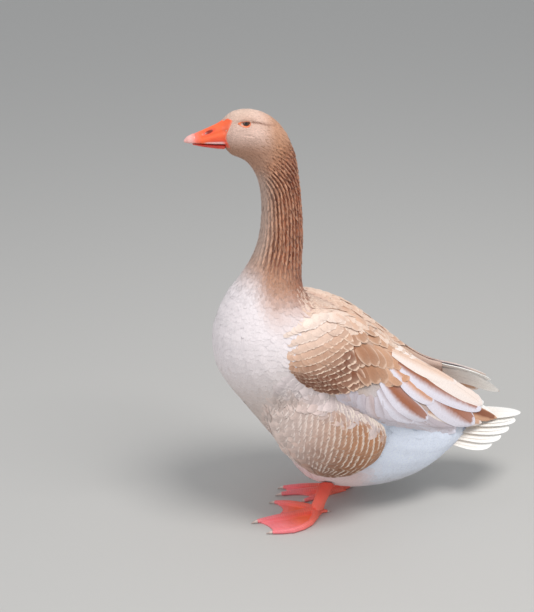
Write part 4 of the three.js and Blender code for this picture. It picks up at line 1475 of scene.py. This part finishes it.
CLAW_PALE, CLAW_TIP = colour(226, 206, 196), colour(150, 128, 120)


def build_claws():
    for side in SIDES:
        for toe in ("inner", "middle", "outer", "hind"):
            node = f"claw_{side}_{toe}"
            mesh = remeshed(cad_solid(node), 0.45, 3)
            mesh.name = f"nail_{side}_{toe}"
            points = places(mesh)
            share = ramp(points[:, 0], points[:, 0].max(), points[:, 0].min())[:, None]
            share = 1 - share if toe == "hind" else share
            paint(mesh, "ground", mix(CLAW_PALE, CLAW_TIP, share * 0.7))
            mesh.materials.append(CLAW_HORN)
            piece = linked(mesh.name, mesh)
            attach(piece, "root")
            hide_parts(node)


# ---------------------------------------------------------------- camera, light and floor
CAMERA_PLACE = (-496.0, -1886.1, 1143.0)
CAMERA_DOWN = 22.0
CAMERA_TURN = 12.0
FOCAL_PIXELS = 1300.0
PICTURE_HEIGHT = 612
SENSOR = 36.0


def build_camera():
    data = bpy.data.cameras.new("camera")
    data.sensor_width = SENSOR
    data.lens = FOCAL_PIXELS / PICTURE_HEIGHT * SENSOR
    camera = linked("camera", data)
    camera.location = metres(CAMERA_PLACE)
    turn = (math.radians(90 - CAMERA_DOWN), 0, -math.radians(CAMERA_TURN))
    camera.rotation_euler = turn
    bpy.context.scene.camera = camera


def area_light(name, place, aim, size, power, tint=(1, 1, 1)):
    data = bpy.data.lights.new(name, "AREA")
    data.shape = "DISK"
    data.size = size
    data.energy = power
    data.color = tint
    lamp = linked(name, data)
    lamp.location = place
    lamp.rotation_euler = (Vector(aim) - Vector(place)).to_track_quat("-Z", "Y").to_euler()


def build_studio():
    world = bpy.data.worlds.new("studio")
    bpy.context.scene.world = world
    world.use_nodes = True
    world.node_tree.nodes["Background"].inputs[0].default_value = (0.93, 0.96, 1.0, 1)
    world.node_tree.nodes["Background"].inputs[1].default_value = 0.6
    area_light("key", (0.5, -0.9, 2.7), (0, 0, 0.35), 1.2, 45, (1, 0.98, 0.96))
    area_light("fill", (-2.3, -1.8, 1.6), (0, 0, 0.35), 2.0, 18, (0.94, 0.96, 1))
    bm = bmesh.new()
    bmesh.ops.create_grid(bm, x_segments=1, y_segments=1, size=30)
    mesh = bpy.data.meshes.new("floor")
    bm.to_mesh(mesh)
    bm.free()
    floor = linked("floor", mesh)
    material, shader, _ = new_material("floor", Roughness=0.85)
    shader.inputs["Base Color"].default_value = (0.52, 0.51, 0.49, 1)
    mesh.materials.append(material)


bpy.context.scene.view_settings.view_transform = "Standard"
build_camera()
build_studio()
head_coat(np.random.default_rng(11))
neck_coat(np.random.default_rng(12))
body_coat(np.random.default_rng(13))
build_wings()
build_tail(np.random.default_rng(41))
build_bill()
build_eyes()
build_lids()
build_legs()
build_claws()
